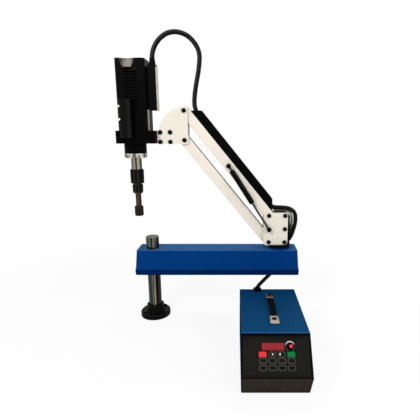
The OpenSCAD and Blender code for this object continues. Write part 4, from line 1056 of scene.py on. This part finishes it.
class TAPPING_OT_tool(bpy.types.Operator):
    """Builds the spindle, the quick-change chuck, its sleeve, the tap holder and the tap socket"""

    bl_idname = "tapping.tool"
    bl_label = "Tool end"

    def execute(self, context):
        dressed("spindle", spindle_steel(), 0.0004)
        dressed("chuck_body", chuck_black(), 0.0003)
        dressed("quick_sleeve", chuck_black(), 0.0003)
        dressed("tap_holder", holder_steel(), 0.0003)
        dressed("tap_socket", socket_black(), 0.0004)
        return {"FINISHED"}


class TAPPING_OT_control_box(bpy.types.Operator):
    """Builds the control box's blue cover, its dark front, feet and rear fittings"""

    bl_idname = "tapping.control_box"
    bl_label = "Control box"

    def execute(self, context):
        bm = merged("control_cover")
        front, rear, rear_roof, roof = -0.4302, -0.1375, -0.17, 0.1692

        def coat(middle, normal):
            hood = middle.y < front and abs(normal.x) < 0.5
            if hood or middle.y > rear or (middle.y > rear_roof and middle.z > roof):
                return 1
            # Side faces get the painted shade.
            return 2 if abs(normal.x) > 0.9 else 0

        shade(bm, coat)
        break_edges(bm, 0.0006)
        coats = [box_paint_with_painted_light(), head_black(), box_side_painted_shade()]
        piece("control_cover_blue", bm, coats, "control_cover")
        # A lighter blue strip along the top's front edge: a painted highlight where the edge catches the
        # light.
        bm = bmesh.new()
        tile(bm, -97.4, -429.6, 97.4, -424.4, 0, 0.15)
        bmesh.ops.translate(bm, verts=bm.verts, vec=point((BOX_X, 0, 169)))
        paint = finish("front edge painted highlight", linear(24, 80, 136), 0.4, specular=0.05)
        piece("cover_front_painted_highlight", bm, [paint], body="base")
        bm = merged("control_fascia")
        shade(bm, lambda middle, normal: int(normal.y < -0.3 and normal.z < 0))
        piece("control_front", bm, [panel_paint(), lower_panel_paint()], "control_fascia")
        dressed("control_chassis", panel_paint())
        painted("control_feet", rubber_black())
        painted("mains_inlet", plastic_black())
        painted("drive_unit", case_metal())
        dressed("power_switch", finish("rocker red", linear(150, 20, 24), 0.3, mottle=(0.05, 30)), 0.0006)
        dressed("control_gland", plastic_black(), 0.0004)
        return {"FINISHED"}


def on_slope(turn=Matrix.Rotation(SLOPE_ANGLE, 4, "X")):
    """The sloping front's frame: +X right, +Y up the slope, +Z out of it."""
    return Matrix.Translation(point(FRONT_FOLD)) @ turn


def fitted(name, bm, materials, node=None, body="base", frame_of=None, smooth=30):
    """A piece that was drawn flat and lies on the sloping front, or in another frame."""
    piece(name, place(bm, frame_of or on_slope()), materials, node, body, smooth)


def bars(bm, material, height, *rectangles):
    """Thin tiles of one material just above a front's paint."""
    for x0, y0, x1, y1 in rectangles:
        tile(bm, x0, y0, x1, y1, 0.02, height, material=material)


class TAPPING_OT_panel(bpy.types.Operator):
    """Builds the display, its digits and lamps, the keys and the speed knob with its scale"""

    bl_idname = "tapping.panel"
    bl_label = "Panel"

    def execute(self, context):
        tints = colours()
        bm = bmesh.new()
        tile(bm, -41, 72.6, 22.4, 91.4, -2.4, 3.2, 1.4)
        window = finish("display window", tints.display, 0.3, specular=0.1, mottle=(0.06, 200))
        fitted("display_red", bm, [window], "display_window")
        bm = bmesh.new()
        for i in range(6):
            for dx, dy, w, h in ((0, 6, 3.6, 0.9), (0, 0, 3.6, 0.9), (0, -6, 3.6, 0.9), (-2.5, 3, 0.9, 4.4),
                                 (2.5, 3, 0.9, 4.4), (-2.5, -3, 0.9, 4.4), (2.5, -3, 0.9, 4.4)):
                x, y = -34.8 + i * 10.2 + dx + dy * 0.12, 82 + dy
                tile(bm, x - w / 2, y - h / 2, x + w / 2, y + h / 2, 0.75, 0.12, 0.3)
        fitted("display_digits", bm, [finish("digit bars", linear(158, 62, 60), 0.35, specular=0.1)])
        fold_shadow = finish("fold shadow", linear(24, 23, 21), 0.6, specular=0.02, mottle=(0.2, 30))
        # Black and dark strips under the brow, along the fold and down the front's sides: painted shadow.
        bm = bmesh.new()
        bars(bm, 0, 0.5, (-HALF_FRONT, 108.6, HALF_FRONT, 116.8))
        bars(bm, 1, 0.12, (-HALF_FRONT, 102.5, HALF_FRONT, 108.6), (-HALF_FRONT, 4.2, HALF_FRONT, 10.5))
        bars(bm, 0, 0.16, (-HALF_FRONT, 0.2, HALF_FRONT, 4.2), (-HALF_FRONT, 10.5, 2.2 - HALF_FRONT, 102.5),
             (HALF_FRONT - 4, 10.5, HALF_FRONT, 102.5))
        fitted("panel_painted_shadows", bm, [head_black(), fold_shadow])
        # The same painted shadow on the lower face, below the fold and down its sides.
        bm = bmesh.new()
        bars(bm, 0, 0.2, (-HALF_FRONT, 76.4, HALF_FRONT, 81.2), (-HALF_FRONT, 0.2, 4.2 - HALF_FRONT, 76.4),
             (HALF_FRONT - 2.4, 0.2, HALF_FRONT, 76.4))
        toe = Matrix.Rotation(math.atan2(-72.5, 37), 4, "X") @ Matrix.Rotation(math.pi, 4, "Y")
        fitted("toe_painted_shadows", bm, [head_black()], frame_of=on_slope(toe))
        bm = bmesh.new()
        for x in (-16.1, -7.3, 1.2, 9.3, 15.2):
            bmesh.ops.create_uvsphere(bm, u_segments=14, v_segments=8, radius=0.0013,
                                      matrix=Matrix.Translation(point((x, 70.9, 0.5))))
        lamp = finish("signal lamp", linear(186, 16, 26), 0.25, specular=0.3)
        fitted("signal_lamps", bm, [lamp], smooth=40)
        white = finish("key white", linear(236, 234, 226), 0.4, specular=0.3, mottle=(0.03, 30))
        key_coats = [
            finish("key black", linear(17, 16, 14), 0.45, specular=0.04, mottle=(0.1, 30)),
            finish("key outline", linear(62, 60, 55), 0.5, specular=0.03, mottle=(0.2, 30)),
            finish("key red", tints.stop_key, 0.4, specular=0.05, mottle=(0.05, 30)),
            finish("key green", tints.start_key, 0.4, specular=0.05, mottle=(0.05, 30)),
            white, panel_paint(),
        ]
        black, outline, red, green, dot, pad = range(6)
        bm = bmesh.new()
        tile(bm, -54, 16, 54, 70.4, 0.05, 0.5, 3, material=pad)
        for row, (low, high) in enumerate(((54.6, 68.4), (38.2, 52.2), (19.8, 34))):
            for col, middle in enumerate((-38.5, -12.1, 14.1, 40.4)):
                colour = {(0, 0): red, (0, 3): green}.get((row, col), black)
                grow = 0 if colour else 0.6
                tile(bm, middle - 10.4 - grow, low - grow, middle + 10.4 + grow, high + grow, 0.5, 0.8,
                     1.6 if colour else 4.2, colour or outline, 0.6 if colour else 2.9, 0.25, colour)
        for x, y in ((-11, 61.6), (9.4, 61.9)):
            own = bmesh.new()
            turned(own, [(0, 0), (2.2, 0), (2.2, 0.3), (1.9, 0.5), (0, 0.5)], 20)
            shade(own, lambda middle, normal: dot)
            add_to(bm, own, Matrix.Translation(point((x, y, 1.5))))
        fitted("keys", bm, key_coats, "keypad")
        dressed("speed_knob", plastic_black(), 0.0002)
        knob = on_slope() @ Matrix.Translation(point((38.2, 81.5, 0)))
        bm = bmesh.new()
        turned(bm, [(0, 12.9), (4.6, 12.9), (4.6, 13.4), (4.2, 13.7), (0, 13.7)], 28)
        bmesh.ops.translate(bm, verts=bm.verts, vec=(0.0012, 0.0003, 0))
        pointer = finish("pointer red", linear(226, 36, 44), 0.35)
        fitted("knob_pointer", bm, [pointer], body="speed_dial", frame_of=knob)
        wedges = [0.7 + 2.1 * math.sin(math.pi * (i + 0.5) / 25) for i in range(25)]
        marks = [(28 + i * 5.4, 13.4 - w / 2, 13.4 + w / 2, 0.74, 0.3) for i, w in enumerate(wedges)]
        marks += [(190 + i * 22.5, 11.8, 13, 0.3, 0.25) for i in range(8)]
        bm = bmesh.new()
        for degrees, near, far, half, height in marks:
            own = bmesh.new()
            tile(own, near, -half, far, half, 0.05, height)
            add_to(bm, own, Matrix.Rotation(math.radians(degrees), 4, "Z"))
        fitted("speed_scale", bm, [white], frame_of=knob)
        return {"FINISHED"}


class TAPPING_OT_handle(bpy.types.Operator):
    """Builds the strap handle and its metal end caps"""

    bl_idname = "tapping.handle"
    bl_label = "Strap handle"

    def execute(self, context):
        hide = finish("strap hide", linear(6, 6, 6), 0.6, specular=0.02, mottle=(0.4, 120), grain=(0.5, 700))
        dressed("handle_strap", hide, 0.0008)
        bm = merged("handle_caps")
        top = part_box("handle_caps")[1][2]
        near_y, far_y, between = -0.364, -0.206, -0.26
        recess_x, half_width, half_length, depth = 0.4395, 0.0066, 0.0085, 0.0075

        def coat(middle, normal):
            from_middle = min(abs(middle.y - near_y), abs(middle.y - far_y))
            inside = abs(middle.x - recess_x) < half_width and from_middle < half_length
            inside = inside and middle.z > top - depth
            if inside and (middle.z < top - 0.0004 or abs(normal.z) < 0.3):
                return 1
            # The far cap gets a darker copy of the cap metal: painted shade.
            return 2 if middle.y > between else 0

        shade(bm, coat)
        break_edges(bm, 0.0008)
        far = finish("far cap painted shade", linear(104, 96, 86), 0.35, 0.7, 0.1, mottle=(0.5, 200))
        piece("handle_caps_metal", bm, [cap_metal(), screw_black(), far], "handle_caps")
        return {"FINISHED"}


OPERATORS = (
    TAPPING_OT_stage, TAPPING_OT_cables, TAPPING_OT_column, TAPPING_OT_beam, TAPPING_OT_swivel,
    TAPPING_OT_plates, TAPPING_OT_screws, TAPPING_OT_links, TAPPING_OT_gas_spring, TAPPING_OT_motor,
    TAPPING_OT_terminal_box, TAPPING_OT_grip, TAPPING_OT_tool, TAPPING_OT_control_box, TAPPING_OT_panel,
    TAPPING_OT_handle,
)
GROUPS = (TAPPING_PG_colours, TAPPING_PG_sizes, TAPPING_PG_studio)


class TAPPING_PT_panel(bpy.types.Panel):
    """Lists the pieces of the tapping machine"""

    bl_idname = "TAPPING_PT_panel"
    bl_label = "Tapping Machine"
    bl_space_type = "VIEW_3D"
    bl_region_type = "UI"
    bl_category = "Tapping Machine"

    def draw(self, context):
        scene = context.scene
        for holder in (scene.tapping_colours, scene.tapping_sizes, scene.tapping_studio):
            box = self.layout.box()
            for name in holder.__annotations__:
                box.prop(holder, name)
        for operator in OPERATORS:
            self.layout.operator(operator.bl_idname)


def register():
    for item in (*GROUPS, *OPERATORS, TAPPING_PT_panel):
        bpy.utils.register_class(item)
    bpy.types.Scene.tapping_colours = bpy.props.PointerProperty(type=TAPPING_PG_colours)
    bpy.types.Scene.tapping_sizes = bpy.props.PointerProperty(type=TAPPING_PG_sizes)
    bpy.types.Scene.tapping_studio = bpy.props.PointerProperty(type=TAPPING_PG_studio)


def unregister():
    del bpy.types.Scene.tapping_colours
    del bpy.types.Scene.tapping_sizes
    del bpy.types.Scene.tapping_studio
    for item in reversed((*GROUPS, *OPERATORS, TAPPING_PT_panel)):
        bpy.utils.unregister_class(item)


def main():
    register()
    for operator in OPERATORS:
        family, name = operator.bl_idname.split(".")
        getattr(getattr(bpy.ops, family), name)()


if __name__ == "__main__":
    main()
